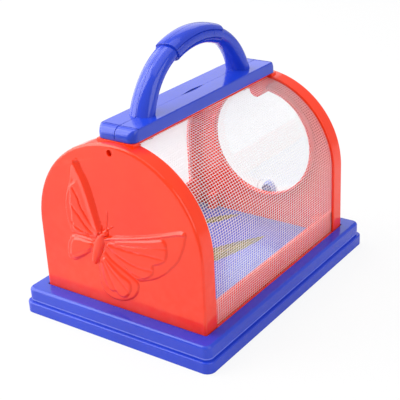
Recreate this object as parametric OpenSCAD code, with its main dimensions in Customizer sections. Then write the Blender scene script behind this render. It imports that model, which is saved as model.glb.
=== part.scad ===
/* [Cage] */
// Width of the cage over the rims of the end walls
cage_w = 110.8; // [96:0.2:130]
// Length of the cage over the end walls
cage_l = 151.4; // [130:0.2:180]
// Height of the straight sides over the base
side_h = 40.4; // [32:0.2:60]
// Thickness of the end wall panels
wall_t = 2.2; // [1.8:0.1:3]
// Depth of the rims that cover the ends of the screens
rim_d = 10.4; // [8:0.2:14]
// Thickness of the rims
rim_t = 1.6; // [1.2:0.1:2.2]
// Rounding between the face of an end wall and its rim
rim_round = 2.4; // [1.6:0.1:3]
// Half width of the flat pad on the crown of each rim
crown_pad_w = 12.2; // [11:0.1:15]
// Height of the crown pad over the arch
crown_pad_h = 0.3; // [0.2:0.1:1]
// Diameter of the tie hole in the front wall
tie_hole_d = 4.2; // [3:0.1:5]
// Distance of the tie hole below the crown
tie_hole_drop = 4.4; // [4.2:0.1:8]

/* [Butterfly] */
// Height of the butterfly over the front wall
relief_h = 1; // [0.6:0.1:1.6]
// Height of the inner wing panels over the wings
panel_h = 0.7; // [0.4:0.1:1.2]
// Distance of the butterfly's waist from the middle of the wall, to the left
butterfly_left = 13.3; // [8:0.1:18]
// Height of the butterfly's waist over the base
butterfly_rise = 34.4; // [30:0.2:42]

/* [Door] */
// Radius of the round hole in the rear wall
hole_r = 35.4; // [28:0.2:38]
// Gap between the pivot boss and the ridge rail over it
boss_gap = 0.8; // [0.5:0.1:3]
// Depth of the lip round the hole
lip_d = 5.6; // [4.6:0.1:8]
// Thickness of the lip
lip_t = 1.8; // [1.4:0.1:2.4]
// Rounding of the hole's outer edge
lip_round = 2.6; // [1.6:0.1:3.2]
// Overlap of the door round the hole
door_lap = 4.6; // [4:0.1:6]
// Thickness of the clear door
door_t = 1.5; // [1.2:0.1:2.2]
// Radius of the boss that takes the pivot screw
boss_r = 4.7; // [3.6:0.1:5.2]
// Depth of the pivot boss from the outer face
boss_d = 9.6; // [8:0.1:12]
// Height of the pivot over the hole's edge
pivot_rise = 0.6; // [0:0.1:2]
// Radius of the door's ear round the pivot
ear_r = 6.4; // [5:0.1:8]
// Radius of the door's lobe round the knob
lobe_r = 7.8; // [7:0.1:9]
// Height and width of the ring on the lobe
ring_h = 0.7; // [0.4:0.1:1]
// Radius of the knob
knob_r = 4.8; // [4:0.1:6]
// Length of the knob
knob_l = 4.6; // [3:0.1:7]

/* [Base] */
// Width of the plinth's ledge beside the screens
ledge_w = 7.9; // [5:0.1:10]
// Width of the plinth's ledge before the end walls
ledge_l = 9.8; // [6:0.1:14]
// Step from the plinth out to the flange
flange_step = 1.7; // [1.2:0.1:5]
// Height of the flange
flange_h = 6.6; // [5.6:0.1:8]
// Height of the base
base_h = 15.2; // [13.4:0.1:18]
// Depth of the tray that the cage stands in
tray_d = 7.4; // [5:0.1:8]
// Thickness of the base moulding
base_t = 2; // [1.6:0.1:2.4]
// Corner radius of the flange
base_corner = 5; // [4:0.1:8]

/* [Screens] */
// Thickness of the screen
screen_t = 0.5; // [0.3:0.05:0.8]
// Number of openings along a screen
mesh_columns = 12; // [6:1:12]
// Number of openings up the straight side of a screen
mesh_side_rows = 4; // [2:1:5]
// Number of openings round the arch of a screen
mesh_arch_rows = 7; // [4:1:7]
// Width of the bars between the openings
mesh_bar = 2.4; // [1.6:0.1:3]
// Height of the bottom rails over the base
rail_h = 12.2; // [9:0.2:18]
// Thickness of the bottom rails
rail_t = 2; // [1.6:0.1:3]
// Half width of the ridge rail
ridge_w = 11; // [10:0.1:12]
// Depth of the ridge rail under the crown
ridge_d = 6.5; // [5.6:0.1:9]
// Depth of the slots that grip the screens
slot_d = 4; // [3:0.1:4.6]

/* [Handle] */
// Width of the bar
bar_w = 24.8; // [23:0.2:28]
// Distance of the bar's ends from the ends of the cage
bar_inset = 5.2; // [4:0.1:8]
// Height of the bar
bar_h = 7.2; // [6.6:0.1:9]
// Rounding of the bar's ends towards its top
bar_nose = 5; // [3:0.1:6]
// Corner radius of the bar
bar_corner = 3; // [2:0.1:5]
// Height of the handle's centre line over the bar
handle_rise = 31.1; // [29:0.1:40]
// Radius of the grip's centre line
grip_arc = 60; // [52:1:80]
// Half angle of the grip, from its middle to its collars
grip_angle = 21; // [16:0.5:23]
// Width of the legs
leg_w = 13.4; // [12:0.2:14.4]
// Thickness of the legs
leg_t = 9; // [8.4:0.2:10.4]
// Width of the grip
grip_w = 15.4; // [14.4:0.2:18]
// Thickness of the grip
grip_t = 11.4; // [10.4:0.2:13]
// Distance of the centres of the legs' arcs below the bar's top
leg_drop = 11; // [6:0.2:14]
// Radius of the grooves along the grip
groove_r = 0.5; // [0.3:0.05:0.8]
// Distance between the two grooves
groove_gap = 4.6; // [3:0.1:5]
// Half height of the flat between a tube's round corners
tube_flat = 0.6; // [0.4:0.1:1.2]
// Thickness of the handle's shells
shell_t = 2; // [1.6:0.1:2.4]
// Angle by which the legs run on into the collars
leg_sink = 2; // [1:0.5:4]

/* [Screws] */
// Radius of the screw shanks
shank_r = 1.4; // [1.2:0.05:1.6]
// Radius of the screw heads
head_r = 2.8; // [2.4:0.1:3.2]
// Height of the screw heads
head_h = 1.6; // [1.2:0.1:2]
// Distance of the base's screws from the middle plane
base_screw_x = 40; // [30:0.5:44]
// Reach of the screws into their bosses
screw_reach = 8; // [6:0.2:8.6]
// Thickness of the bosses round and beyond their pilot holes
boss_wall = 2; // [1.4:0.1:2.4]

/* [Clearances] */
// Gap round the screens in their slots
screen_gap = 0.15; // [0.1:0.05:0.3]
// Gap between the cage and the tray
tray_gap = 0.3; // [0.2:0.05:0.5]
// Gap between the door and the wall, and under its screw head
door_gap = 0.3; // [0.2:0.05:0.5]
// Gap round a shank in its pilot hole
pilot_gap = 0.05; // [0.05:0.01:0.1]
// Gap round a shank in a clearance hole
shank_gap = 0.3; // [0.25:0.05:0.4]
// Gap between the tip of a screw and the end of its pilot hole
tip_gap = 0.5; // [0.3:0.1:0.8]

/* [Hidden] */
$fn = 96;
eps = 0.01;
cage_r = cage_w / 2;
floor_z = base_h - tray_d;
spring_z = base_h + side_h;
crown_z = spring_z + cage_r;
bar_z = crown_z + crown_pad_h;
screen_r = cage_r - rim_t - screen_gap;
panel_y = cage_l / 2 - wall_t;
rim_y = cage_l / 2 - rim_d;
plinth_w = cage_w + 2 * ledge_w;
plinth_l = cage_l + 2 * ledge_l;
flange_w = plinth_w + 2 * flange_step;
flange_l = plinth_l + 2 * flange_step;
pivot_z = crown_z - ridge_d - boss_gap - boss_r;
hole_z = pivot_z - pivot_rise - hole_r;
door_r = hole_r + door_lap;
door_y = cage_l / 2 + door_gap;
knob_z = hole_z - hole_r - pivot_rise;
butterfly_z = base_h + butterfly_rise;
floor_bottom = floor_z - base_t;
rail_slot = screen_t + 2 * screen_gap;
rail_x = screen_r - screen_t - screen_gap - rail_t;
pilot_l = screw_reach + tip_gap;
screw_boss_r = shank_r + boss_wall;
base_screw_y = panel_y - head_r;
handle_screw_x = ridge_w - slot_d - shank_r - 2 * shank_gap;
bar_l = cage_l - 2 * bar_inset;
bar_top = bar_z + bar_h;
grip_z = bar_top + handle_rise - grip_arc;
// The legs' arcs go on smoothly from the grip's arc and end with their outer side half a shell inside the bar.
shoulder_z = bar_top - leg_drop;
shoulder_arc = (grip_z + grip_arc * cos(grip_angle) - shoulder_z) / cos(grip_angle);
shoulder_y = (grip_arc - shoulder_arc) * sin(grip_angle);
leg_y = shoulder_y + sqrt(shoulder_arc * shoulder_arc - leg_drop * leg_drop);
leg_end = acos((leg_drop - shell_t / 2) / (shoulder_arc + leg_t / 2));

// Points of a cubic curve from a to d, without its last point
function curve(a, b, c, d, steps = 10) =
    [for (i = [0 : steps - 1]) let (t = i / steps, u = 1 - t)
        u * u * u * a + 3 * u * u * t * b + 3 * u * t * t * c + t * t * t * d];

// Rectangle with round corners, centred
module round_rect(w, l, r) {
    square([w - 2 * r, l], center = true);
    square([w, l - 2 * r], center = true);
    for (x = [-1, 1], y = [-1, 1])
        translate([x * (w / 2 - r), y * (l / 2 - r)]) circle(r);
}

// Stands a drawing in x and z up, and gives it a depth along y from y0
module along_y(y0, depth) {
    translate([0, y0 + depth, 0]) rotate([90, 0, 0]) linear_extrude(depth) children();
}

// Outline of the cage at a radius, from a bottom height to the arch
module arch(r, bottom) {
    intersection() {
        translate([0, spring_z]) circle(r);
        translate([-r, spring_z - eps]) square([2 * r, 2 * r]);
    }
    translate([-r, bottom]) square([2 * r, spring_z - bottom]);
}

// Section of an end wall from its middle to its rim: x is the distance out, y the depth from the outer face
module wall_section() {
    difference() {
        union() {
            square([cage_r - rim_round, rim_d]);
            translate([0, rim_round]) square([cage_r, rim_d - rim_round]);
            translate([cage_r - rim_round, rim_round]) circle(rim_round);
        }
        translate([-eps, wall_t]) square([cage_r - rim_t + eps, rim_d]);
    }
}

// End wall with its outer face at y = 0 and its inside towards +y
module end_cap() {
    translate([0, 0, spring_z]) rotate([-90, 0, 0]) rotate([0, 0, 180]) rotate_extrude(angle = 180) wall_section();
    for (side = [0, 1])
        mirror([side, 0, 0]) translate([0, 0, floor_z]) linear_extrude(spring_z - floor_z) wall_section();
    crown_pad();
    for (x = [-1, 1])
        wall_boss(x * base_screw_x);
}

// Flat on the crown that carries the end of the bar
module crown_pad() {
    difference() {
        translate([-crown_pad_w, bar_inset, spring_z]) cube([2 * crown_pad_w, rim_d - bar_inset, bar_z - spring_z]);
        translate([0, -eps, spring_z]) rotate([-90, 0, 0]) cylinder(r = cage_r - rim_t / 2, h = rim_d + 2 * eps);
    }
}

// Boss at the foot of an end wall for a screw from below
module wall_boss(x) {
    y = cage_l / 2 - base_screw_y;
    boss_h = pilot_l + boss_wall;
    difference() {
        union() {
            translate([x, y, floor_z]) cylinder(r = screw_boss_r, h = boss_h);
            translate([x - screw_boss_r, wall_t / 2, floor_z]) cube([2 * screw_boss_r, y - wall_t / 2, boss_h]);
        }
        translate([x, y, floor_z - eps]) cylinder(r = shank_r + pilot_gap, h = pilot_l + eps);
    }
}

// Butterfly seen from the front, with its waist at the origin and each wing clear of the next
module butterfly_wings() {
    polygon(concat(
        curve([-2.4, 3.4], [-2, 24], [-6, 42], [-11, 48.5]),
        curve([-11, 48.5], [-17, 45], [-22, 22], [-19.5, 7]),
        curve([-19.5, 7], [-14, 2], [-8, 1.5], [-2.4, 3.4])));
    polygon(concat(
        curve([-3.6, 0], [-10, -1], [-16, 1.5], [-20.5, -0.5]),
        curve([-20.5, -0.5], [-25, -7], [-22.5, -13.5], [-18, -12.5]),
        curve([-18, -12.5], [-12, -11.5], [-8, -6], [-3.6, 0])));
    polygon(concat(
        curve([5, 4], [22, 13], [44, 23], [58, 23]),
        curve([58, 23], [61, 20], [57, 6], [50, 0]),
        curve([50, 0], [44, -8], [36, -15], [26, -14.5]),
        curve([26, -14.5], [16, -10], [8, -4], [5, 4])));
    polygon(concat(
        curve([2.6, -2], [10, -8], [18, -12], [25, -16]),
        curve([25, -16], [26, -25], [20, -30], [10, -30.5]),
        curve([10, -30.5], [0, -30], [-2, -22], [2.6, -2])));
}

// Raised panels inside the wings
module butterfly_panels() {
    polygon(concat(
        curve([-4.5, 7], [-6, 22], [-8, 34], [-12, 40]),
        curve([-12, 40], [-17, 30], [-17, 18], [-16, 9]),
        curve([-16, 9], [-12, 5], [-8, 4.5], [-4.5, 7])));
    polygon(concat(
        curve([9, 4.5], [20, 10], [34, 15], [45, 17]),
        curve([45, 17], [47.5, 10], [45, 1], [38, -2.5]),
        curve([38, -2.5], [32, -12], [26, -12], [24, -11.5]),
        curve([24, -11.5], [16, -7], [9, -2], [9, 4.5])));
    polygon(concat(
        curve([3.6, -6.6], [9, -11], [15, -13.5], [20.5, -15]),
        curve([20.5, -15], [21, -23], [15, -27], [9, -26.5]),
        curve([9, -26.5], [2, -24], [1, -18], [3.6, -6.6])));
}

// Body, head and two feelers
module butterfly_body() {
    body_tilt = 24;
    skull_r = 2.2;
    skull_z = 11.8;
    feeler_w = 1;
    feeler_l = 9;
    feeler_start = 2.8;
    rotate([0, 0, -body_tilt]) {
        polygon(concat(
            curve([0, -11], [2.6, -6], [2.6, 6], [0, 9.2]),
            curve([0, 9.2], [-2.6, 6], [-2.6, -6], [0, -11])));
        translate([0, skull_z]) circle(skull_r);
        for (lean = [-12, 18])
            translate([0, skull_z]) rotate([0, 0, -lean]) translate([-feeler_w / 2, feeler_start])
                square([feeler_w, feeler_l]);
    }
}

module butterfly() {
    translate([-butterfly_left, 0, butterfly_z]) {
        along_y(-relief_h, relief_h + wall_t / 2) butterfly_wings();
        along_y(-relief_h - panel_h, panel_h + relief_h / 2) butterfly_panels();
        along_y(-relief_h - panel_h, relief_h + panel_h + wall_t / 2) butterfly_body();
    }
}

module front_wall() {
    color("orangered") translate([0, -cage_l / 2, 0]) difference() {
        union() {
            end_cap();
            butterfly();
        }
        translate([0, -eps, crown_z - tie_hole_drop]) rotate([-90, 0, 0])
            cylinder(d = tie_hole_d, h = wall_t + 2 * eps);
    }
}

// Section of the lip round the hole: x is the distance from the hole's axis, y the depth from the outer face
module lip_section() {
    difference() {
        union() {
            translate([hole_r, 0]) square([lip_round + lip_t, wall_t]);
            translate([hole_r, 0]) square([lip_t, lip_d]);
            translate([hole_r, 0]) square([lip_round, lip_round]);
        }
        difference() {
            translate([hole_r - eps, -eps]) square([lip_round + eps, lip_round + eps]);
            translate([hole_r + lip_round, lip_round]) circle(lip_round);
        }
    }
}

module rear_wall() {
    color("orangered") rotate([0, 0, 180]) translate([0, -cage_l / 2, 0]) difference() {
        union() {
            difference() {
                end_cap();
                translate([0, -eps, hole_z]) rotate([-90, 0, 0])
                    cylinder(r = hole_r + lip_round + lip_t / 2, h = wall_t + 2 * eps);
            }
            translate([0, 0, hole_z]) rotate([-90, 0, 0]) rotate_extrude() lip_section();
            translate([0, 0, pivot_z]) rotate([-90, 0, 0]) cylinder(r = boss_r, h = boss_d);
        }
        translate([0, -eps, pivot_z]) rotate([-90, 0, 0]) cylinder(r = shank_r + pilot_gap, h = pilot_l + eps);
    }
}

// Bottom rail on the side of +x: a web inside the screen and a low lip outside it
module rail() {
    web_l = 2 * (panel_y - tray_gap);
    lip_l = 2 * (rim_y - tray_gap);
    lip_x = rail_x + rail_t + rail_slot;
    translate([rail_x, -web_l / 2, floor_z]) cube([rail_t, web_l, tray_d + rail_h]);
    translate([rail_x, -lip_l / 2, floor_z]) cube([cage_r - rail_x, lip_l, rail_t / 2]);
    translate([lip_x, -lip_l / 2, floor_z]) cube([cage_r - lip_x, lip_l, tray_d]);
}

module left_rail() {
    color("orangered") mirror([1, 0, 0]) rail();
}

module right_rail() {
    color("orangered") rail();
}

module ridge_outline() {
    difference() {
        translate([-ridge_w, crown_z - ridge_d]) square([2 * ridge_w, bar_z - crown_z + ridge_d]);
        difference() {
            translate([0, spring_z]) circle(screen_r + screen_gap);
            translate([0, spring_z]) circle(screen_r - screen_t - screen_gap);
            translate([-ridge_w + slot_d, spring_z]) square([2 * (ridge_w - slot_d), cage_w]);
        }
    }
}

// Ridge rail between the end walls, with tongues under their rims
module ridge() {
    body_l = 2 * (rim_y - screen_gap);
    tongue_l = 2 * (panel_y - screen_gap);
    color("orangered") difference() {
        union() {
            along_y(-body_l / 2, body_l) ridge_outline();
            along_y(-tongue_l / 2, tongue_l) intersection() {
                ridge_outline();
                translate([0, spring_z]) circle(screen_r);
            }
        }
        for (x = [-1, 1], y = [-1, 1])
            translate([x * handle_screw_x, y * leg_y, spring_z]) cylinder(r = shank_r + shank_gap, h = cage_r + bar_h);
    }
}

// Openings of a screen on the side of +x, in a plain grid between the rims, the base and the ridge
module screen_openings() {
    column = (2 * rim_y - mesh_bar) / mesh_columns;
    side_row = (side_h - mesh_bar) / mesh_side_rows;
    arch_row = acos(ridge_w / screen_r) / mesh_arch_rows;
    arch_opening = screen_r * arch_row * PI / 180 - mesh_bar;
    cut_t = 4 * screen_t;
    for (j = [0 : mesh_columns - 1]) {
        y = -rim_y + mesh_bar + j * column;
        for (i = [0 : mesh_side_rows - 1])
            translate([screen_r - cut_t, y, base_h + mesh_bar + i * side_row])
                cube([2 * cut_t, column - mesh_bar, side_row - mesh_bar]);
        for (i = [0 : mesh_arch_rows - 1])
            translate([0, y, spring_z]) rotate([0, -(i + 0.5) * arch_row, 0])
                translate([screen_r - cut_t, 0, -arch_opening / 2])
                    cube([2 * cut_t, column - mesh_bar, arch_opening]);
    }
}

// Screen panel on the side of +x, from the bottom rail's slot to the ridge's slot
module screen() {
    screen_l = 2 * (panel_y - screen_gap);
    screen_z = floor_z + rail_t / 2 + screen_gap;
    top_x = ridge_w - slot_d + screen_gap;
    difference() {
        along_y(-screen_l / 2, screen_l) intersection() {
            difference() {
                arch(screen_r, screen_z);
                arch(screen_r - screen_t, screen_z - eps);
            }
            translate([top_x, 0]) square([cage_r, crown_z]);
        }
        screen_openings();
    }
}

module left_screen() {
    color("whitesmoke") mirror([1, 0, 0]) screen();
}

module right_screen() {
    color("whitesmoke") screen();
}

// Arc of the handle in the plane x = 0, about a point at y and z, between two angles from the top towards +y
module handle_arc(y, z, r, from, to) {
    translate([0, y, z]) rotate([0, -90, 0]) rotate([0, 0, from]) rotate_extrude(angle = to - from)
        translate([r, 0]) children();
}

// Section of a handle tube on the side of +x: x is the thickness and y the width
module tube_section(w, t, corner_trim) {
    intersection() {
        round_rect(t, w, t / 2 - corner_trim);
        translate([-t, -w]) square([2 * t, w]);
    }
}

// Hollow of a handle tube with a wall inside the legs' outline
module tube_hollow(wall) {
    translate([0, eps]) tube_section(leg_w - 2 * wall + 2 * eps, leg_t - 2 * wall, tube_flat);
}

module leg_section() {
    difference() {
        tube_section(leg_w, leg_t, tube_flat);
        tube_hollow(shell_t);
    }
}

// Section of the grip, with two grooves along its side
module grip_section() {
    difference() {
        tube_section(grip_w, grip_t, tube_flat);
        tube_hollow(shell_t / 2);
        for (offset_t = [-1, 1])
            translate([offset_t * groove_gap / 2, -grip_w / 2]) circle(groove_r);
    }
}

// Grip between its collars, and legs that run from inside the collars into the bar
module handle_tube() {
    handle_arc(0, grip_z, grip_arc, -grip_angle, grip_angle) grip_section();
    for (side = [0, 1])
        mirror([0, side, 0]) handle_arc(shoulder_y, shoulder_z, shoulder_arc, grip_angle - leg_sink, leg_end)
            leg_section();
}

// Side view of the bar at an inset from its outside, with its top ends rounded
module bar_side(inset) {
    l = bar_l - 2 * inset;
    nose = bar_nose - inset;
    difference() {
        translate([-l / 2, bar_z + inset]) square([l, bar_h - 2 * inset]);
        for (end = [0, 1])
            mirror([end, 0]) translate([bar_l / 2 - bar_nose, bar_top - bar_nose]) difference() {
                square(bar_nose);
                circle(nose);
            }
    }
}

// Stands a drawing in y and z up, and gives it a width along x from x0
module along_x(x0, width) {
    translate([x0, 0, 0]) rotate([90, 0, 90]) linear_extrude(width) children();
}

// Half of the bar, hollow towards the parting plane
module bar_half() {
    difference() {
        intersection() {
            translate([0, 0, bar_z]) linear_extrude(bar_h) intersection() {
                round_rect(bar_w, bar_l, bar_corner);
                translate([0, -bar_l / 2]) square([bar_w, bar_l]);
            }
            along_x(0, bar_w) bar_side(0);
        }
        along_x(-eps, bar_w / 2 - shell_t + eps) bar_side(shell_t);
    }
}

// Half of the bar and handle on the side of +x
module handle_half() {
    difference() {
        union() {
            bar_half();
            handle_tube();
            for (y = [-1, 1])
                translate([handle_screw_x, y * leg_y, bar_z + shell_t / 2])
                    cylinder(r = screw_boss_r, h = bar_h - shell_t);
        }
        for (y = [-1, 1])
            translate([handle_screw_x, y * leg_y, bar_z - eps])
                cylinder(r = shank_r + pilot_gap, h = bar_h - shell_t / 2 + eps);
    }
}

module left_handle_half() {
    color("royalblue") mirror([1, 0, 0]) handle_half();
}

module right_handle_half() {
    color("royalblue") handle_half();
}

// Clear door with an ear round its pivot and a ringed lobe round its knob
module door() {
    color("white", 0.3) translate([0, door_y, 0]) rotate([-90, 0, 0]) difference() {
        union() {
            translate([0, -hole_z, 0]) cylinder(r = door_r, h = door_t);
            translate([0, -pivot_z, 0]) cylinder(r = ear_r, h = door_t);
            translate([0, -knob_z, 0]) cylinder(r = lobe_r, h = door_t);
            translate([0, -knob_z, 0]) difference() {
                cylinder(r = lobe_r, h = door_t + ring_h);
                cylinder(r = lobe_r - ring_h, h = door_t + ring_h + eps);
            }
        }
        translate([0, -pivot_z, -eps]) cylinder(r = shank_r + shank_gap, h = door_t + 2 * eps);
        translate([0, -knob_z, -eps]) cylinder(r = shank_r + pilot_gap, h = door_t + 2 * eps);
    }
}

// Knob on the outside of the door, with a stud through it
module door_knob() {
    color("royalblue") translate([0, door_y, knob_z]) rotate([-90, 0, 0]) {
        cylinder(r = shank_r, h = door_t + eps);
        translate([0, 0, door_t]) cylinder(r = knob_r, h = knob_l);
    }
}

// Screw with its head's seat at the origin and its shank towards +z
module screw(length) {
    translate([0, 0, -head_h]) cylinder(r = head_r, h = head_h);
    translate([0, 0, -eps]) cylinder(r = shank_r, h = length + eps);
}

module pivot_screw() {
    seat = door_gap + door_t + door_gap;
    color("silver") translate([0, cage_l / 2 + seat, pivot_z]) rotate([90, 0, 0]) screw(seat + screw_reach);
}

module handle_screws() {
    color("silver") for (x = [-1, 1], y = [-1, 1])
        translate([x * handle_screw_x, y * leg_y, crown_z - ridge_d])
            screw(bar_top - crown_z + ridge_d - shell_t / 2 - tip_gap);
}

module base_screws() {
    color("silver") for (x = [-1, 1], y = [-1, 1])
        translate([x * base_screw_x, y * base_screw_y, floor_bottom]) screw(base_t + screw_reach);
}

// Base tray: a plinth on a wider flange, hollow below, with a sunk floor that the cage stands on
module base() {
    tray_w = cage_w + 2 * tray_gap;
    tray_l = cage_l + 2 * tray_gap;
    plinth_corner = base_corner - flange_step / 2;
    color("royalblue") difference() {
        union() {
            linear_extrude(flange_h) round_rect(flange_w, flange_l, base_corner);
            linear_extrude(base_h) round_rect(plinth_w, plinth_l, plinth_corner);
        }
        translate([-tray_w / 2, -tray_l / 2, floor_z]) cube([tray_w, tray_l, tray_d + eps]);
        translate([0, 0, -eps]) linear_extrude(flange_h - base_t + eps)
            round_rect(flange_w - 2 * base_t, flange_l - 2 * base_t, base_corner - base_t / 2);
        translate([0, 0, -eps]) linear_extrude(floor_bottom + eps)
            round_rect(plinth_w - 2 * base_t, plinth_l - 2 * base_t, plinth_corner - base_t / 2);
        difference() {
            linear_extrude(base_h - base_t) round_rect(plinth_w - 2 * base_t, plinth_l - 2 * base_t,
                                                       plinth_corner - base_t / 2);
            translate([-tray_w / 2 - base_t, -tray_l / 2 - base_t, floor_bottom])
                cube([tray_w + 2 * base_t, tray_l + 2 * base_t, base_h]);
        }
        for (x = [-1, 1], y = [-1, 1])
            translate([x * base_screw_x, y * base_screw_y, 0]) cylinder(r = shank_r + shank_gap, h = base_h);
    }
}

base();
front_wall();
rear_wall();
left_rail();
right_rail();
ridge();
left_screen();
right_screen();
left_handle_half();
right_handle_half();
door();
door_knob();
pivot_screw();
handle_screws();
base_screws();
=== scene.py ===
"""Looks of a small insect cage: red end walls, a butterfly, white screens, blue base and carrying handle."""

import logging
import math
from dataclasses import dataclass, field
from enum import Enum
from functools import cached_property, lru_cache
from typing import Callable, Dict, Iterable, List, Optional, Sequence, Tuple, Union

import bmesh
import bpy
import numpy as np
from bmesh.types import BMEdge, BMVert
from mathutils import Matrix, Vector


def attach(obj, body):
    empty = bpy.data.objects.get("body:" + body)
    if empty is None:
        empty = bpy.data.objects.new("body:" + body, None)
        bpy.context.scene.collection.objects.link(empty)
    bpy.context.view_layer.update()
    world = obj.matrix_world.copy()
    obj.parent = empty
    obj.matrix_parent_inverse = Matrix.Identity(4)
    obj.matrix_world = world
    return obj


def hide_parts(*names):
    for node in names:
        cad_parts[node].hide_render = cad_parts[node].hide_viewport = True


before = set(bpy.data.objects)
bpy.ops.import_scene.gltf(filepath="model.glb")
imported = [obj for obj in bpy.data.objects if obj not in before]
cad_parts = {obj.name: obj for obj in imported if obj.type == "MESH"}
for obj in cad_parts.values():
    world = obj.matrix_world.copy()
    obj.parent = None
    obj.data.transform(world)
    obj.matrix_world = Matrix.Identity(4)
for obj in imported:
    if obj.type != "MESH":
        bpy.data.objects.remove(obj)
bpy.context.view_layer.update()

log = logging.getLogger("insect_cage")

MM = 0.001
FLOOR_Z = 7.8
SPRING_Z = 55.6
HOLE_Z = 63.0
PIVOT_Z = 99.0
BAR_Z = 111.3
Rgb = Tuple[float, float, float]
Flat = Tuple[float, float]
Point = Tuple[float, float, float]
Socket = bpy.types.NodeSocket
Input = Union[Socket, float, Sequence[float]]
X_AXIS = Vector((1, 0, 0))
Y_AXIS = Vector((0, 1, 0))
Z_AXIS = Vector((0, 0, 1))
ORIGIN = Vector((0, 0, 0))
NEAR = 1e-3


class Slot(Enum):
    """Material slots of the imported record."""

    RED = "red_plastic"
    BLUE = "blue_plastic"
    WHITE = "white_screen"
    CLEAR = "clear_plastic"
    STEEL = "screw_steel"


class Body(Enum):
    """Bodies that the pieces ride on."""

    CAGE = "cage"
    DOOR = "door"


class Side(Enum):
    """Sides of the cage, with the sign of x."""

    LEFT = -1
    RIGHT = 1

    @property
    def word(self) -> str:
        """The side's name in small letters."""
        return self.name.lower()


def tint(code: str) -> Rgb:
    """Turns a colour as it is seen, in six hexadecimal digits, into the shader's linear colour."""
    parts = [int(code[i:i + 2], 16) / 255 for i in (0, 2, 4)]
    return tuple(p / 12.92 if p <= 0.04045 else ((p + 0.055) / 1.055) ** 2.4 for p in parts)


class Board:
    """Lays out the nodes of a material or a world."""

    def __init__(self, owner: Union[bpy.types.Material, bpy.types.World]) -> None:
        """Starts on the owner's own nodes.

        Args:
            owner: The material or world.
        """
        owner.use_nodes = True
        self.tree = owner.node_tree

    @cached_property
    def point(self) -> Socket:
        """Object coordinates."""
        return self.add("ShaderNodeTexCoord").outputs["Object"]

    def add(self, kind: str, inputs: Optional[Dict] = None, **settings) -> bpy.types.Node:
        """Adds a node.

        Args:
            kind: Type of the node.
            inputs: Values or sockets for its inputs, by name or index.
            **settings: Properties of the node.

        Returns:
            The node.
        """
        node = self.tree.nodes.new(kind)
        for key, value in settings.items():
            setattr(node, key, value)
        self.feed(node, inputs or {})
        return node

    def feed(self, node: bpy.types.Node, inputs: Dict) -> None:
        """Links sockets to a node's inputs, or sets the inputs' values.

        Args:
            node: The node.
            inputs: Sockets, numbers, vectors or colours, by name or index.
        """
        for key, value in inputs.items():
            target = node.inputs[key]
            if isinstance(value, bpy.types.NodeSocket):
                self.tree.links.new(value, target)
            elif target.type == "RGBA":
                target.default_value = (*value[:3], 1.0)
            else:
                target.default_value = value

    def noise(
        self, scale: float, detail: float = 2.0, stretch: Point = (1, 1, 1), turn: Point = (0, 0, 0)
    ) -> Socket:
        """Noise over the piece.

        Args:
            scale: Features a metre.
            detail: Number of finer layers.
            stretch: Scale of each axis before the noise.
            turn: Turn of the pattern, in radians.

        Returns:
            The noise, from 0 to 1.
        """
        moved = self.add("ShaderNodeMapping", {"Vector": self.point, "Scale": stretch, "Rotation": turn})
        node = self.add("ShaderNodeTexNoise", {"Vector": moved.outputs[0], "Scale": scale, "Detail": detail})
        return node.outputs["Fac"]

    def span(
        self, value: Socket, low: float, high: float, to_low: float = 0.0, to_high: float = 1.0
    ) -> Socket:
        """Maps a range of a value to another, with its ends held.

        Args:
            value: The value.
            low: Start of its range.
            high: End of its range.
            to_low: Result at the start.
            to_high: Result at the end.

        Returns:
            The mapped value.
        """
        names = ("From Min", "From Max", "To Min", "To Max")
        inputs = {"Value": value, **dict(zip(names, (low, high, to_low, to_high)))}
        return self.add("ShaderNodeMapRange", inputs).outputs[0]

    def sum(self, operation: str, first: Input, second: Input = 0.0) -> Socket:
        """One step of arithmetic with two values."""
        return self.add("ShaderNodeMath", {0: first, 1: second}, operation=operation).outputs[0]

    def blend(self, share: Input, first: Input, second: Input) -> Socket:
        """Mixes a share of the second colour into the first."""
        node = self.add("ShaderNodeMix", {0: share, 6: first, 7: second}, data_type="RGBA")
        return node.outputs[2]

    def bump(self, height: Socket, depth: float, below: Optional[Socket] = None) -> Socket:
        """Bump from a height, over another bump.

        Args:
            height: Height from 0 to 1.
            depth: Depth of the height, in metres.
            below: Normal of the bump below.

        Returns:
            The bumped normal.
        """
        inputs = {"Height": height, "Distance": depth, "Strength": 1.0}
        if below is not None:
            inputs["Normal"] = below
        return self.add("ShaderNodeBump", inputs).outputs[0]

    def wear(self) -> Socket:
        """Share of rubbing on the rounded edges, broken up by noise."""
        point = self.add("ShaderNodeNewGeometry").outputs["Pointiness"]
        edge = self.span(point, 0.53, 0.60)
        return self.sum("MULTIPLY", edge, self.span(self.noise(160, 3), 0.35, 0.7))

    def seen(self) -> Socket:
        """1 for rays that show the background, from the camera or through clear plastic, and 0 for others."""
        path = self.add("ShaderNodeLightPath").outputs
        return self.sum("MAXIMUM", path["Is Camera Ray"], path["Is Transmission Ray"])


@dataclass(frozen=True)
class Finish:
    """What a piece looks like."""

    name: str
    colour: Rgb

    def lay(self, board: Board) -> Dict[str, Input]:
        """Lays the nodes and returns the shader's inputs by name."""
        raise NotImplementedError

    def material(self) -> bpy.types.Material:
        """Returns a new material with this finish."""
        made = bpy.data.materials.new(self.name)
        board = Board(made)
        board.feed(board.tree.nodes["Principled BSDF"], self.lay(board))
        return made


@lru_cache(maxsize=None)
def material_of(finish: Finish) -> bpy.types.Material:
    """Returns a finish's material, made on first use."""
    return finish.material()


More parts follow.
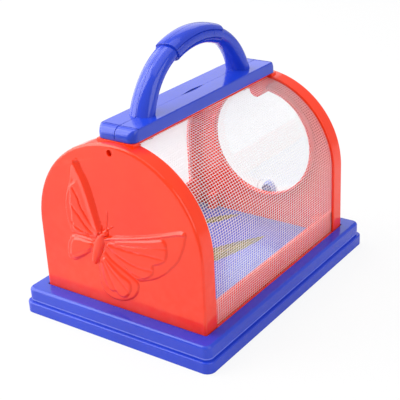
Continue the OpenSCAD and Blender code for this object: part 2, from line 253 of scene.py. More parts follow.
@dataclass(frozen=True)
class MouldedPlastic(Finish):
    """Glossy moulded plastic with soft ripples, faint grain, scuffs and rubbed edges."""

    deep: Rgb
    worn: Rgb
    roughness: float = 0.1
    ripple: float = 0.00004
    grain: float = 0.000012
    rubbed: float = 0.15
    scuffed: float = 0.08

    def pigment(self, board: Board) -> Socket:
        """Colour of the plastic, a little uneven as it set in the mould."""
        cloud = board.span(board.noise(22, 4), 0.35, 0.75)
        return board.blend(cloud, self.colour, self.deep)

    def lay(self, board: Board) -> Dict[str, Input]:
        """Lays the colour, gloss and relief.

        Args:
            board: The material's board.

        Returns:
            The shader's inputs by name.
        """
        rubbed = board.sum("MULTIPLY", board.wear(), self.rubbed)
        scuffs = board.span(board.noise(90, 5, (1, 14, 3), (0.4, 0.2, 0.7)), 0.62, 0.8)
        haze = board.span(board.noise(35, 3), 0.3, 0.8, self.roughness - 0.02, self.roughness + 0.03)
        gloss = board.sum("ADD", haze, board.sum("MULTIPLY", scuffs, self.scuffed))
        soft = board.bump(board.noise(26, 1), self.ripple)
        fine = board.bump(board.noise(2600, 2), self.grain, soft)
        colour = board.blend(rubbed, self.pigment(board), self.worn)
        return {"Base Color": colour, "Roughness": gloss, "Normal": fine, "IOR": 1.5}


@dataclass(frozen=True)
class Leaf:
    """A printed leaf blade: middle, half length and half width in millimetres, and turn in degrees."""

    x: float
    y: float
    half_length: float
    half_width: float
    turn: float


@dataclass(frozen=True)
class PrintedPlastic(MouldedPlastic):
    """Moulded plastic with a plain print of leaf blades on a sunk floor."""

    leaf: Rgb = (0, 0, 0)
    rib: Rgb = (0, 0, 0)
    ground: Rgb = (0, 0, 0)
    floor_z: float = FLOOR_Z
    layer: float = 0.4
    leaves: Tuple[Leaf, ...] = ()

    def pigment(self, board: Board) -> Socket:
        """Colour of the plastic with the print over it.

        Args:
            board: The material's board.

        Returns:
            The colour.
        """
        colour = super().pigment(board)
        height = board.add("ShaderNodeSeparateXYZ", {0: board.point}).outputs[2]
        low = board.sum("LESS_THAN", height, (self.floor_z + self.layer) * MM)
        high = board.sum("GREATER_THAN", height, (self.floor_z - self.layer) * MM)
        floor = board.sum("MULTIPLY", low, high)
        patchy = board.span(board.noise(300, 3), 0.25, 0.5, 0.6, 1.0)
        colour = board.blend(board.sum("MULTIPLY", floor, patchy), colour, self.ground)
        for blade in self.leaves:
            across, along = self.blade_point(board, blade)
            taper = board.sum("SUBTRACT", 1.0, board.sum("MULTIPLY", along, along))
            ratio = board.sum("DIVIDE", across, board.sum("MAXIMUM", taper, 0.001))
            inside = board.sum("MULTIPLY", board.span(ratio, 0.9, 1.0, 1.0, 0.0), floor)
            share = board.sum("MULTIPLY", inside, patchy)
            ribbed = board.blend(board.span(ratio, 0.08, 0.16), self.rib, self.leaf)
            colour = board.blend(share, colour, ribbed)
        return colour

    @staticmethod
    def blade_point(board: Board, blade: Leaf) -> Tuple[Socket, Socket]:
        """Coordinates on a leaf, 1 at its side and at its tip.

        Args:
            board: The material's board.
            blade: The leaf.

        Returns:
            The distance across, without its sign, and the distance along.
        """
        size = (blade.half_width * MM, blade.half_length * MM, 1)
        place = {"Vector": board.point, "Location": (blade.x * MM, blade.y * MM, 0)}
        place.update({"Rotation": (0, 0, math.radians(blade.turn)), "Scale": size})
        moved = board.add("ShaderNodeMapping", place, vector_type="TEXTURE")
        parts = board.add("ShaderNodeSeparateXYZ", {0: moved.outputs[0]})
        return board.sum("ABSOLUTE", parts.outputs[0]), parts.outputs[1]


@dataclass(frozen=True)
class ScreenPlastic(Finish):
    """White extruded threads, a little chalky and dusty, that let some light through."""

    dust: Rgb
    milky: float = 0.5
    milk_depth: float = 0.0006

    def lay(self, board: Board) -> Dict[str, Input]:
        """Lays the dust, chalk and grain and returns the shader's inputs by name."""
        dusty = board.span(board.noise(60, 4), 0.45, 0.8, 0.0, 0.5)
        return {
            "Base Color": board.blend(dusty, self.colour, self.dust),
            "Roughness": board.span(board.noise(500, 2), 0.3, 0.7, 0.35, 0.5),
            "Normal": board.bump(board.noise(3500, 2), 0.00001),
            "Subsurface Weight": self.milky,
            "Subsurface Radius": (1.0, 1.0, 1.0),
            "Subsurface Scale": self.milk_depth,
        }


@dataclass(frozen=True)
class ClearPlastic(Finish):
    """Clear moulded sheet with hair scratches, that casts only a faint shadow."""

    bend: float = 1.47
    shade: float = 0.1

    def lay(self, board: Board) -> Dict[str, Input]:
        """Lays the clear body, faint shadow and scratches.

        Args:
            board: The material's board.

        Returns:
            The shader's inputs by name.
        """
        shadow = board.add("ShaderNodeLightPath").outputs["Is Shadow Ray"]
        hairs = board.noise(120, 4, (1, 1, 22), (0.3, 0.9, 0.2))
        return {
            "Base Color": self.colour,
            "Transmission Weight": 1.0,
            "IOR": self.bend,
            "Alpha": board.span(shadow, 0.0, 1.0, 1.0, self.shade),
            "Roughness": board.span(hairs, 0.66, 0.8, 0.02, 0.12),
            "Normal": board.bump(board.noise(40, 1), 0.00004),
        }


@dataclass(frozen=True)
class ScrewSteel(Finish):
    """Zinc-plated steel, dulled and lightly scratched."""

    dull: Rgb

    def lay(self, board: Board) -> Dict[str, Input]:
        """Lays the dull spots and scratches and returns the shader's inputs by name."""
        spots = board.span(board.noise(700, 4), 0.4, 0.7)
        return {
            "Base Color": board.blend(spots, self.colour, self.dull),
            "Metallic": 1.0,
            "Roughness": board.span(board.noise(1500, 3), 0.3, 0.7, 0.28, 0.5),
            "Normal": board.bump(board.noise(2500, 3), 0.00001),
        }


RED = MouldedPlastic("red moulding", tint("f8380a"), tint("f22c06"), tint("ff6a50"), roughness=0.08)
BLUE = MouldedPlastic("blue moulding", tint("1f3fc4"), tint("1b37b8"), tint("6f86f2"))
BLUE_PRINTED = PrintedPlastic(
    "blue moulding with leaf print", BLUE.colour, BLUE.deep, BLUE.worn,
    leaf=tint("76773a"), rib=tint("a3a060"), ground=tint("6474dc"),
    leaves=(Leaf(-27, 55.5, 17, 4.2, -34), Leaf(-3.4, 3.8, 51, 8.2, -21)),
)
# Knob colour: partly the knob's own pale tone and partly painted light. It is paler than the blue moulding so
# that the knob, which sits in shade behind the clear door, looks lit.
PALE_BLUE_WITH_PAINTED_LIGHT = MouldedPlastic("pale blue knob with painted light", tint("b4bbf0"), tint("a8b0e6"), tint("ccd2f8"))
WHITE = ScreenPlastic("white screen thread", tint("ffffff"), tint("f8f6f6"))
CLEAR = ClearPlastic("clear door sheet", tint("fbfdff"))
STEEL = ScrewSteel("plated screw", tint("c9c9cc"), tint("9a9a9e"))


def aimed(axis: Vector) -> Matrix:
    """Turn that brings +z to an axis."""
    return Z_AXIS.rotation_difference(axis).to_matrix().to_4x4()


def verts_in(geom: Iterable) -> List[BMVert]:
    """Vertices among the things that an operator made."""
    return [v for v in geom if isinstance(v, BMVert)]


def edges_in(geom: Iterable) -> List[BMEdge]:
    """Edges among the things that an operator made."""
    return [e for e in geom if isinstance(e, BMEdge)]


class Island:
    """One closed skin, shaped in millimetres."""

    APART = 20.0
    WELD = 0.0005
    CUT = 1e-5

    def __init__(self) -> None:
        """Starts an empty skin."""
        self.bm = bmesh.new()

    @property
    def everything(self) -> List:
        """All vertices, edges and faces."""
        return self.bm.verts[:] + self.bm.edges[:] + self.bm.faces[:]

    def wire(self, points: Iterable[Point], closed: bool = False) -> List[BMVert]:
        """Draws a line through points.

        Args:
            points: The points.
            closed: Whether the line returns to its start.

        Returns:
            The line's vertices.
        """
        verts = [self.bm.verts.new(p) for p in points]
        ends = verts[1:] + verts[:1] if closed else verts[1:]
        for first, second in zip(verts, ends):
            self.bm.edges.new((first, second))
        return verts

    def soften(self, verts: Iterable[BMVert], radius: float, steps: int = 4) -> None:
        """Rounds corners of a line to a radius."""
        bmesh.ops.bevel(self.bm, geom=list(verts), offset=radius, offset_type="OFFSET", segments=steps,
                        profile=0.5, affect="VERTICES", material=-1)

    def profile(self, points: Iterable[Point], softened: Iterable[Tuple[int, float, int]]) -> None:
        """Draws a line through points and rounds some of its corners.

        Args:
            points: The points.
            softened: Number, radius and segments of each rounded corner.
        """
        verts = self.wire(points)
        for number, radius, steps in softened:
            self.soften([verts[number]], radius, steps)

    def round_off(self, edges: Iterable[BMEdge], radius: float, steps: int = 3) -> None:
        """Rounds edges of the skin to a width."""
        bmesh.ops.bevel(self.bm, geom=list(edges), offset=radius, offset_type="OFFSET", segments=steps,
                        profile=0.5, affect="EDGES", clamp_overlap=True, material=-1)

    def round_loop(
        self, width: float, length: float, corner: float, z: float, steps: int = 8
    ) -> List[BMEdge]:
        """Draws a level rectangle with round corners, centred.

        Args:
            width: Size along x.
            length: Size along y.
            corner: Radius of its corners.
            z: Height.
            steps: Segments of each corner.

        Returns:
            The loop's edges.
        """
        before = set(self.bm.edges)
        x, y = width / 2, length / 2
        self.soften(self.wire([(-x, -y, z), (x, -y, z), (x, y, z), (-x, y, z)], True), corner, steps)
        return [e for e in self.bm.edges if e not in before]

    def ring(self, radius: float, centre: Point, normal: Vector, steps: int) -> List[BMEdge]:
        """Draws a circle.

        Args:
            radius: Its radius.
            centre: Its centre.
            normal: Direction of its axis.
            steps: Number of segments.

        Returns:
            The circle's edges.
        """
        made = bmesh.ops.create_circle(self.bm, cap_ends=False, segments=steps, radius=radius,
                                       matrix=Matrix.Translation(centre) @ aimed(normal))
        return list({e for v in made["verts"] for e in v.link_edges})

    def skin(self, loops: Sequence[Sequence[BMEdge]]) -> None:
        """Bridges each loop to the next."""
        for first, second in zip(loops, loops[1:]):
            bmesh.ops.bridge_loops(self.bm, edges=list(first) + list(second))

    def stack(self, width: float, length: float, insets: Sequence[Sequence[float]]) -> List[List[BMEdge]]:
        """Bridges level outlines with round corners and closes both ends.

        The outlines are bridged well apart and then set to their heights, so that none is skipped.

        Args:
            width: Full size along x.
            length: Full size along y.
            insets: Distance in along x and y, corner radius and height of each outline.

        Returns:
            Each outline's edges.
        """
        loops = [self.round_loop(width - 2 * x, length - 2 * y, corner, self.APART * number)
                 for number, (x, y, corner, _) in enumerate(insets)]
        self.skin(loops)
        for loop, inset in zip(loops, insets):
            for vert in {v for e in loop for v in e.verts}:
                vert.co.z = inset[-1]
        for end in (loops[0], loops[-1]):
            bmesh.ops.contextual_create(self.bm, geom=end)
        self.weld()
        return loops

    def fill(self, edges: Iterable[BMEdge], normal: Vector) -> None:
        """Fills a flat outline, round any holes in it, with faces that look along a normal."""
        bmesh.ops.triangle_fill(self.bm, edges=list(edges), use_beauty=True, normal=normal)

    def pull(self, faces: Sequence, by: Point) -> None:
        """Draws faces out along a vector and keeps them at the start."""
        made = bmesh.ops.extrude_face_region(self.bm, geom=list(faces), use_keep_orig=True)["geom"]
        bmesh.ops.translate(self.bm, vec=by, verts=verts_in(made))

    def repeat(self, geom: Sequence, axis: Vector, pitch: float, count: int) -> None:
        """Copies geometry along an axis.

        Args:
            geom: What is copied.
            axis: The axis, of length 1.
            pitch: Distance between copies.
            count: Number of copies.
        """
        for number in range(1, count + 1):
            copy = bmesh.ops.duplicate(self.bm, geom=geom)["geom"]
            bmesh.ops.translate(self.bm, vec=axis * (pitch * number), verts=verts_in(copy))

    def spin(
        self, geom: Sequence, centre: Vector, axis: Vector, angle: float, steps: int, merge: bool = False
    ) -> List:
        """Turns a line or face round an axis.

        Args:
            geom: What is turned.
            centre: A point on the axis.
            axis: Direction of the axis.
            angle: Angle in radians.
            steps: Number of segments.
            merge: Whether the end meets the start.

        Returns:
            What stands at the end of the turn.
        """
        return bmesh.ops.spin(self.bm, geom=list(geom), cent=centre, axis=axis, angle=angle, steps=steps,
                              use_merge=merge)["geom_last"]

    def lathe(
        self, section: Sequence[Flat], centre: Point, axis: Vector, softened: Dict[int, float], steps: int
    ) -> "Island":
        """Turns a section into a round solid.

        Args:
            section: Radius and height of each point, the height along the axis.
            centre: Foot of the axis.
            axis: Direction of the axis.
            softened: Radius of rounding at some points, by number.
            steps: Number of segments.

        Returns:
            The skin itself.
        """
        self.profile([(r, 0, h) for r, h in section], [(number, r, 4) for number, r in softened.items()])
        self.turn_full(Z_AXIS, steps)
        self.seat(axis, centre)
        return self

    def turn_full(self, axis: Vector, steps: int) -> None:
        """Turns the skin's line full circle about an axis through the origin."""
        self.spin(self.everything, ORIGIN, axis, 2 * math.pi, steps, True)
        self.weld()

    def seat(self, axis: Vector, centre: Point) -> None:
        """Turns the whole skin from +z to an axis and moves it from the origin to a centre."""
        self.move(aimed(axis))
        self.shift(centre)

    def box(self, x: Flat, y: Flat, z: Flat, edge: float) -> "Island":
        """Makes a block between two places on each axis, with rounded edges."""
        return self.prism([(x[0], z[0]), (x[1], z[0]), (x[1], z[1]), (x[0], z[1])], *y, edge)

    def prism(self, section: Sequence[Flat], start: float, end: float, edge: float) -> "Island":
        """Draws a section in x and z out along y, with rounded edges.

        Args:
            section: The section's corners.
            start: Its start along y.
            end: Its end along y.
            edge: Rounding of the edges.

        Returns:
            The skin itself.
        """
        face = self.bm.faces.new(self.wire([(x, start, z) for x, z in section], True))
        self.pull([face], (0, end - start, 0))
        self.weld()
        self.round_off(self.bm.edges[:], edge, 2)
        return self

    def move(self, matrix: Matrix) -> None:
        """Turns or moves the whole skin by a matrix."""
        bmesh.ops.transform(self.bm, matrix=matrix, verts=self.bm.verts[:])

    def shift(self, by: Point) -> None:
        """Moves the whole skin along a vector."""
        bmesh.ops.translate(self.bm, vec=by, verts=self.bm.verts[:])

    def weld(self) -> None:
        """Merges doubles and turns the faces outwards."""
        bmesh.ops.remove_doubles(self.bm, verts=self.bm.verts[:], dist=self.WELD)
        bmesh.ops.recalc_face_normals(self.bm, faces=self.bm.faces[:])

    def slice(self, spot: Point, normal: Vector, clear: bool = False) -> List:
        """Cuts the skin along a plane.

        Args:
            spot: A point on the plane.
            normal: Direction across the plane.
            clear: Whether what lies behind the plane is taken away.

        Returns:
            The vertices and edges on the plane.
        """
        return bmesh.ops.bisect_plane(self.bm, geom=self.everything, dist=self.CUT, plane_co=spot,
                                      plane_no=normal, clear_inner=clear)["geom_cut"]

    def rim_where(self, test: Callable[[Vector], bool]) -> List[BMEdge]:
        """Open edges whose two ends pass a test of their place."""
        return [e for e in self.bm.edges if len(e.link_faces) == 1 and all(test(v.co) for v in e.verts)]


def link(name: str, data: bpy.types.ID) -> bpy.types.Object:
    """Puts an object with some data into the scene."""
    made = bpy.data.objects.new(name, data)
    bpy.context.scene.collection.objects.link(made)
    return made


class Piece:
    """A part of the model, joined from islands and dressed with one finish."""

    SHARP = math.radians(38)

    def __init__(self, name: str, *islands: Island) -> None:
        """Joins islands to a piece.

        Args:
            name: Name of the piece.
            *islands: The islands, which are cleared.
        """
        self.name = name
        self.mesh = bpy.data.meshes.new(name)
        self.whole = bmesh.new()
        for island in islands:
            self.add(island)

    def add(self, island: Island) -> None:
        """Joins one island to the piece and clears it.

        Args:
            island: The island.
        """
        store = bpy.data.meshes.new("island")
        island.bm.to_mesh(store)
        island.bm.free()
        self.whole.from_mesh(store)
        bpy.data.meshes.remove(store)

    def dress(self, finish: Finish, slot: Slot, body: Body, node: str, flats: bool = True) -> None:
        """Makes the object, gives it its finish and sets it on its body.

        Args:
            finish: The finish.
            slot: The record's material slot. Not used.
            body: The body that it rides on.
            node: The CAD node that it stands for.
            flats: Whether flat faces keep their flat shading.
        """
        bmesh.ops.scale(self.whole, vec=(MM, MM, MM), verts=self.whole.verts[:])
        for face in self.whole.faces:
            face.smooth = True
        for edge in self.whole.edges:
            edge.smooth = len(edge.link_faces) != 2 or edge.calc_face_angle() < self.SHARP
        self.whole.to_mesh(self.mesh)
        self.whole.free()
        self.mesh.materials.append(material_of(finish))
        made = link(self.name, self.mesh)
        if flats:
            made.modifiers.new("flats", "WEIGHTED_NORMAL").keep_sharp = True
        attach(made, body.value)
        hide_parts(node)
        log.info("%s: %d faces on %s", self.name, len(self.mesh.polygons), body.value)


@dataclass
class Base:
    """Plinth on a wider flange, hollow below, with the tray that the cage stands in."""

    width: float = 130.0
    length: float = 174.4
    step: float = 1.7
    ledge_x: float = 7.6
    ledge_y: float = 9.5
    flange: float = 6.6
    height: float = 15.2
    floor: float = FLOOR_Z
    wall: float = 2.0
    corner: float = 5.0
    tray_corner: float = 0.7
    inner: float = 1.0
    roundings: Tuple[Tuple[int, float], ...] = ((6, 0.25), (7, 0.8), (9, 1.8), (10, 0.45))

    def build(self) -> Piece:
        """Returns the base."""
        skin = Island()
        step, wall = self.step, self.wall
        tray_x, tray_y = step + self.ledge_x, step + self.ledge_y
        plinth_corner, pit_corner = self.corner - step / 2, 2 * self.tray_corner
        roof, lintel = self.height - wall, self.flange - wall
        insets = [
            (tray_x - wall, tray_y - wall, pit_corner, self.floor - wall),
            (tray_x - wall, tray_y - wall, pit_corner, roof),
            (step + wall, step + wall, plinth_corner - self.inner, roof),
            (step + wall, step + wall, plinth_corner - self.inner, lintel),
            (wall, wall, self.corner - self.inner, lintel),
            (wall, wall, self.corner - self.inner, 0.0),
            (0, 0, self.corner, 0.0),
            (0, 0, self.corner, self.flange),
            (step, step, plinth_corner, self.flange),
            (step, step, plinth_corner, self.height),
            (tray_x, tray_y, self.tray_corner, self.height),
            (tray_x, tray_y, self.tray_corner, self.floor),
        ]
        loops = skin.stack(self.width, self.length, insets)
        for number, radius in self.roundings:
            skin.round_off(loops[number], radius, 4)
        return Piece("base_moulding", skin)

    def dress(self) -> None:
        """Builds the base and dresses it."""
        self.build().dress(BLUE_PRINTED, Slot.BLUE, Body.CAGE, "base")


@dataclass
class EndWall:
    """Arched end wall with a rim; depths run in from its outer face at y = 0 towards +y."""

    node: str = ""
    rear: bool = False
    half_width: float = 55.4
    spring: float = SPRING_Z
    foot: float = FLOOR_Z
    wall: float = 2.2
    rim: float = 1.6
    rim_depth: float = 10.4
    rounding: float = 1.5
    lap: float = 0.05
    ledge: float = 1.4
    lip_edge: float = 0.4
    nook: float = 0.7
    crown_half: float = 12.2
    crown_top: float = BAR_Z
    crown_h: float = 1.88
    crown_edge: float = 0.3
    half_length: float = 75.7
    pad_in: float = 5.2
    boss_x: float = 40.0
    boss_in: float = 5.0
    boss_r: float = 3.4
    boss_h: float = 10.5
    arch_steps: int = 80

    def shell(self, skin: Island, front_hole: Sequence[BMEdge], back_hole: Sequence[BMEdge]) -> None:
        """Makes the panel with its rim round holes that are there.

        Args:
            skin: The skin, with the holes' edges in it.
            front_hole: Edges of the hole in the outer face.
            back_hole: Edges of the hole in the inner face.
        """
        out, drop = self.half_width, self.spring - self.foot
        inner, deep = out - self.rim, self.rim_depth
        before = set(skin.bm.verts)
        section = [(out - self.rounding - self.lap, 0), (out, 0), (out, deep), (inner, deep),
                   (inner, self.wall), (inner - self.ledge, self.wall)]
        softened = ((1, self.rounding, 7), (2, self.lip_edge, 3), (3, self.lip_edge, 3), (4, self.nook, 3))
        skin.profile([(r, d, 0) for r, d in section], softened)
        chain = [v for v in skin.bm.verts if v not in before]
        edges = list({e for v in chain for e in v.link_edges})
        last = skin.spin(chain + edges, ORIGIN, -Y_AXIS, math.pi, self.arch_steps)
        feet = edges + edges_in(last)
        made = bmesh.ops.extrude_edge_only(skin.bm, edges=feet)["geom"]
        bmesh.ops.translate(skin.bm, vec=(0, 0, -drop), verts=verts_in(made))
        for depth, hole, normal in ((0.0, front_hole, -Y_AXIS), (self.wall, back_hole, Y_AXIS)):
            outline = [e for e in skin.rim_where(lambda c: abs(c.y - depth) < NEAR) if e not in set(hole)]
            outline = [e for e in outline if max(v.co.length for v in e.verts) > out - self.rounding - 2]
            ends = {v for e in outline for v in e.verts if abs(v.co.z + drop) < NEAR}
            outline = [e for e in outline if not ends.issuperset(e.verts)]
            ends = sorted(ends, key=lambda v: abs(v.co.x))
            outline.append(skin.bm.edges.new(ends[:2]))
            skin.fill(outline + list(hole), normal)
        skin.fill(skin.rim_where(lambda c: abs(c.z + drop) < NEAR), -Z_AXIS)
        skin.weld()

    def crown(self) -> Island:
        """Returns the flat pad that carries the bar, in the wall's own frame."""
        half, high = self.crown_half, self.crown_top - self.spring
        low, depths = high - self.crown_h, (self.pad_in, self.rim_depth)
        return Island().box((-half, half), depths, (low, high), self.crown_edge)

    def boss(self, x: float) -> Island:
        """Returns a boss for a screw at the foot, at a distance from the middle, in the wall's own frame."""
        section = [(0, 0), (self.boss_r, 0), (self.boss_r, self.boss_h), (0, self.boss_h)]
        return Island().lathe(section, (x, self.boss_in, self.foot - self.spring), Z_AXIS, {2: 0.4}, 28)

    def islands(self) -> List[Island]:
        """Returns the islands that one wall alone has, in the wall's own frame."""
        raise NotImplementedError

    def dress(self) -> None:
        """Builds the wall, sets it in its place and dresses it."""
        place = Matrix.Translation((0, -self.half_length, self.spring))
        if self.rear:
            place = Matrix.Rotation(math.pi, 4, "Z") @ place
        islands = [*self.islands(), *self.common()]
        for island in islands:
            island.move(place)
        Piece(f"{self.node}_moulding", *islands).dress(RED, Slot.RED, Body.CAGE, self.node)

    def common(self) -> List[Island]:
        """Returns the pad and bosses that both walls have."""
        return [self.crown(), self.boss(-self.boss_x), self.boss(self.boss_x)]


@dataclass
class Butterfly:
    """Relief on the front wall, drawn from its waist, with heights out from the wall."""

    left: float = 13.3
    waist: float = 49.6
    cell: float = 0.5
    low: Flat = (-25.0, -32.0)
    high: Flat = (61.5, 51.5)
    sink: float = 0.25
    root: float = 1.3
    wings: Dict[str, List[Flat]] = field(default_factory=lambda: {
        "upper left": [(3.1, 11.2), (1.9, 19.2), (0.6, 26), (-1.3, 33.1), (-3.9, 40), (-6.2, 43.6),
                       (-9.4, 48.4), (-12.3, 47.8), (-14.7, 43), (-16.8, 35.6), (-19.5, 29.2), (-21.5, 22.8),
                       (-22, 16.7), (-21.5, 12.6), (-20.2, 8.6), (-18.6, 4.6), (-12, 4.2), (-5, 4.4), (0, 6)],
        "lower left": [(-2.2, 3.4), (-7, 4.0), (-13, 4.0), (-19.4, 2.6), (-22.2, -1.6), (-23.7, -7),
                       (-23.5, -11.4), (-21.5, -13.1), (-17.8, -13), (-13, -10.5), (-6.6, -5.7), (-3, -1.6)],
        "upper right": [(6, 8), (23.6, 12.6), (37.1, 16.6), (47, 20), (55, 22.8), (59, 23), (59.4, 18.9),
                        (57.8, 12.9), (54.2, 5.1), (50, 0.2), (45.1, -4.9), (38.3, -9.6), (31.3, -12.7),
                        (25.6, -13.9), (17, -8), (8, -1), (4, 3)],
        "lower right": [(3.4, -1.4), (9, -5.6), (17, -9.6), (25.6, -14.2), (26.2, -19.4), (23, -24.8),
                        (18.3, -28.2), (12.5, -30.2), (6.4, -30.2), (1.4, -27.8), (-1.2, -22.6),
                        (-1.4, -15), (-0.9, -8)],
    })
    panels: Dict[str, List[Flat]] = field(default_factory=lambda: {
        "upper left": [(1.6, 11), (0.4, 17), (-1.4, 23.6), (-3.6, 31), (-5.4, 37.6), (-7.3, 41.2),
                       (-11.7, 37.1), (-16.2, 32.7), (-16.6, 27.3), (-17.3, 22.4), (-16.9, 18.3), (-17.1, 11),
                       (-15.1, 6.8), (-7.2, 6.4), (0, 7.4)],
        "lower left": [(-4, 1.4), (-12, 2.4), (-17.6, 1), (-20, -4.2), (-20.6, -9.4), (-17, -10.8),
                       (-11, -7.4), (-6, -3.2)],
        "upper right": [(8, 5.6), (22, 9.6), (35, 12.8), (45.4, 15.4), (47.4, 10.6), (46.2, 4.2), (42.4, 0.8),
                        (37.8, -1.4), (37.6, -5), (35, -8.6), (28.4, -12), (23, -11.4), (14, -4), (7, 1.6)],
        "lower right": [(3.6, -5), (9, -8.6), (14.6, -12.6), (20.4, -15.4), (21.4, -19.6), (19, -24.2),
                        (15.8, -26.6), (12.4, -26.2), (10.4, -24.4), (7, -24.8), (3.6, -21.6), (1.6, -15),
                        (1.4, -9)],
    })
    veins: List[List[Flat]] = field(default_factory=lambda: [
        [(1.2, 10.1), (-4.5, 15.3), (-9.2, 22.5), (-10.7, 27.5), (-13.6, 32.7)],
        [(0.1, 6.8), (-5.8, 10.2), (-11.4, 16.7), (-16.4, 22.1)],
        [(-2.2, 5), (-6.3, 6.5), (-13.9, 8.9), (-17.2, 11.1)],
        [(-2.9, 2.3), (-8.6, 2.1), (-15.8, 2.7)], [(-5.6, -2.7), (-13.4, -6.6), (-20.5, -10)],
        [(-5.9, -4.6), (-10.7, -8.3), (-16.3, -11.7)], [(7, 5.4), (19.4, 6.2), (32.9, 8.4), (46.6, 11)],
        [(6, 4.2), (19.4, 3.3), (32.9, 3.9), (45.4, 4.4)],
        [(5.6, 2.6), (15.4, -1.8), (25.4, -4.6), (37, -4.6)],
        [(5.4, 1.4), (14, -5), (22, -9), (30, -11)], [(3, -5), (9, -12), (15.4, -18), (19.6, -22)],
        [(2.4, -6), (6.4, -15), (10.6, -24)], [(1.6, -8), (2.6, -16), (5, -24)],
    ])
    body: List[Flat] = field(default_factory=lambda: [
        (-3.5, -9.4), (-2, -4.2), (0.2, 1.2), (2.6, 6), (4, 8.4)])
    feelers: List[List[Flat]] = field(default_factory=lambda: [
        [(6.8, 12.3), (7.6, 17), (8.3, 22.6)], [(7.4, 12.2), (9.8, 13.9), (11.6, 15.2)]])
    skull: Flat = (5.9, 9.9)
    skull_r: float = 2.1
    skull_h: float = 2.2
    body_h: float = 2.4
    feeler_r: float = 0.6
    feeler_h: float = 0.75
    wing_edge: float = 1.3
    wing_h: float = 0.75
    panel_edge: float = 1.5
    panel_h: float = 0.85
    panel_out: float = 0.4
    vein_w: float = 0.55
    vein_depth: float = 0.5
    vein_fade: float = 0.15
    flank: float = 3.0
    crest: float = 2.3
    crest_fall: float = 0.22
    bead_h: float = 0.9
    bead_w: float = 0.9
    bead_in: float = 1.3
    waist_r: float = 1.2
    belly: float = 2.0

    @staticmethod
    def curve(points: Sequence[Flat], closed: bool, steps: int = 6) -> np.ndarray:
        """Smooth line through points.

        Args:
            points: The points.
            closed: Whether the line returns to its start.
            steps: Samples between two points.

        Returns:
            The line's points, one a row.
        """
        p = np.array(points, float)
        if closed:
            p = np.vstack([p[-1:], p, p[:2]])
        else:
            p = np.vstack([2 * p[:1] - p[1:2], p, 2 * p[-1:] - p[-2:-1]])
        t = np.linspace(0, 1, steps, endpoint=False)[:, None]
        spans = []
        for a, b, c, d in zip(p, p[1:], p[2:], p[3:]):
            square, cube = 2 * a - 5 * b + 4 * c - d, 3 * b - a - 3 * c + d
            spans.append(0.5 * (2 * b + (c - a) * t + square * t ** 2 + cube * t ** 3))
        return np.vstack(spans + ([] if closed else [p[-2:-1]]))

    @staticmethod
    def distance(grid: np.ndarray, line: np.ndarray) -> Tuple[np.ndarray, np.ndarray]:
        """Distance of each point from a line, and where along it the nearest place is.

        Args:
            grid: The points, one a row.
            line: The line's points.

        Returns:
            The distances, and the places from 0 at the line's start to 1 at its end.
        """
        best = np.full(len(grid), 1e9)
        place = np.zeros(len(grid))
        for number, (a, b) in enumerate(zip(line, line[1:])):
            run = b - a
            t = np.clip((grid - a) @ run / max(run @ run, 1e-9), 0, 1)
            gap = np.hypot(*(grid - a - t[:, None] * run).T)
            nearer = gap < best
            best[nearer] = gap[nearer]
            place[nearer] = (number + t[nearer]) / (len(line) - 1)
        return best, place

    def depth_in(self, grid: np.ndarray, points: Sequence[Flat]) -> np.ndarray:
        """Distance inside a closed outline, negative outside it.

        Args:
            grid: The points, one a row.
            points: Points that the outline runs through.

        Returns:
            The distances.
        """
        line = self.curve(points, True)
        ring = np.vstack([line, line[:1]])
        gap, _ = self.distance(grid, ring)
        inside = np.zeros(len(grid), bool)
        for a, b in zip(ring, ring[1:]):
            crosses = (a[1] > grid[:, 1]) != (b[1] > grid[:, 1])
            with np.errstate(divide="ignore", invalid="ignore"):
                at = a[0] + (grid[:, 1] - a[1]) * (b[0] - a[0]) / (b[1] - a[1])
                inside ^= crosses & (grid[:, 0] < at)
        return np.where(inside, gap, -gap)

    @staticmethod
    def rise(value: np.ndarray, width: float) -> np.ndarray:
        """Smooth step from 0 at nothing to 1 at a width."""
        t = np.clip(value / width, 0, 1)
        return t * t * (3 - 2 * t)

    def dome(self, gap: np.ndarray, radius: Union[float, np.ndarray], height: float) -> np.ndarray:
        """Round height over a middle line, down to the sunk ground at a radius."""
        return height * np.sqrt(np.clip(1 - (gap / radius) ** 2, 0, 1)) - self.sink

    def heights(self, grid: np.ndarray) -> np.ndarray:
        """Height of the relief at points of the wall.

        Args:
            grid: The points from the waist, one a row.

        Returns:
            The heights, below zero where the wall is bare.
        """
        total = np.full(len(grid), -self.sink)
        groove = np.zeros(len(grid))
        for line in self.veins:
            gap, place = self.distance(grid, self.curve(line, False))
            depth = self.vein_depth - self.vein_fade * place
            groove = np.maximum(groove, depth * np.exp(-(gap / self.vein_w) ** 2))
        for name, outline in self.wings.items():
            edge = self.depth_in(grid, outline)
            panel = self.depth_in(grid, self.panels[name])
            slant = self.rise(edge, self.wing_edge)
            height = self.wing_h * slant + self.panel_h * self.rise(panel + self.panel_out, self.panel_edge)
            height -= groove * (panel > -1)
            if name == "upper left":
                lead, place = self.distance(grid, self.curve(outline[:7], False))
                width = self.flank * (0.4 + 0.6 * np.sin(np.pi * np.clip(place, 0.04, 0.96)) ** 0.6)
                slope = self.crest * np.clip(lead / width, 0, 1)
                back = np.maximum(height, self.crest - self.crest_fall * (lead - width)) - groove * 0.5
                height = np.where(lead < width, slope, back)
                height = np.minimum(height, self.crest * slant + slope * (lead < width))
            if name == "upper right":
                lead, _ = self.distance(grid, self.curve(outline[:6], False))
                bead = np.exp(-((lead - self.bead_in) / self.bead_w) ** 2)
                height += self.bead_h * bead * self.rise(edge, 0.6)
            raised = np.maximum(total, height - self.sink * (edge < 0))
            total = np.where(edge > -self.cell, raised, total)
        gap, place = self.distance(grid, self.curve(self.body, False))
        girth = self.waist_r + self.belly * np.sin(np.pi * np.clip(place * 0.86 + 0.1, 0, 1))
        total = np.maximum(total, self.dome(gap, girth, self.body_h))
        head = np.hypot(*(grid - np.array(self.skull)).T)
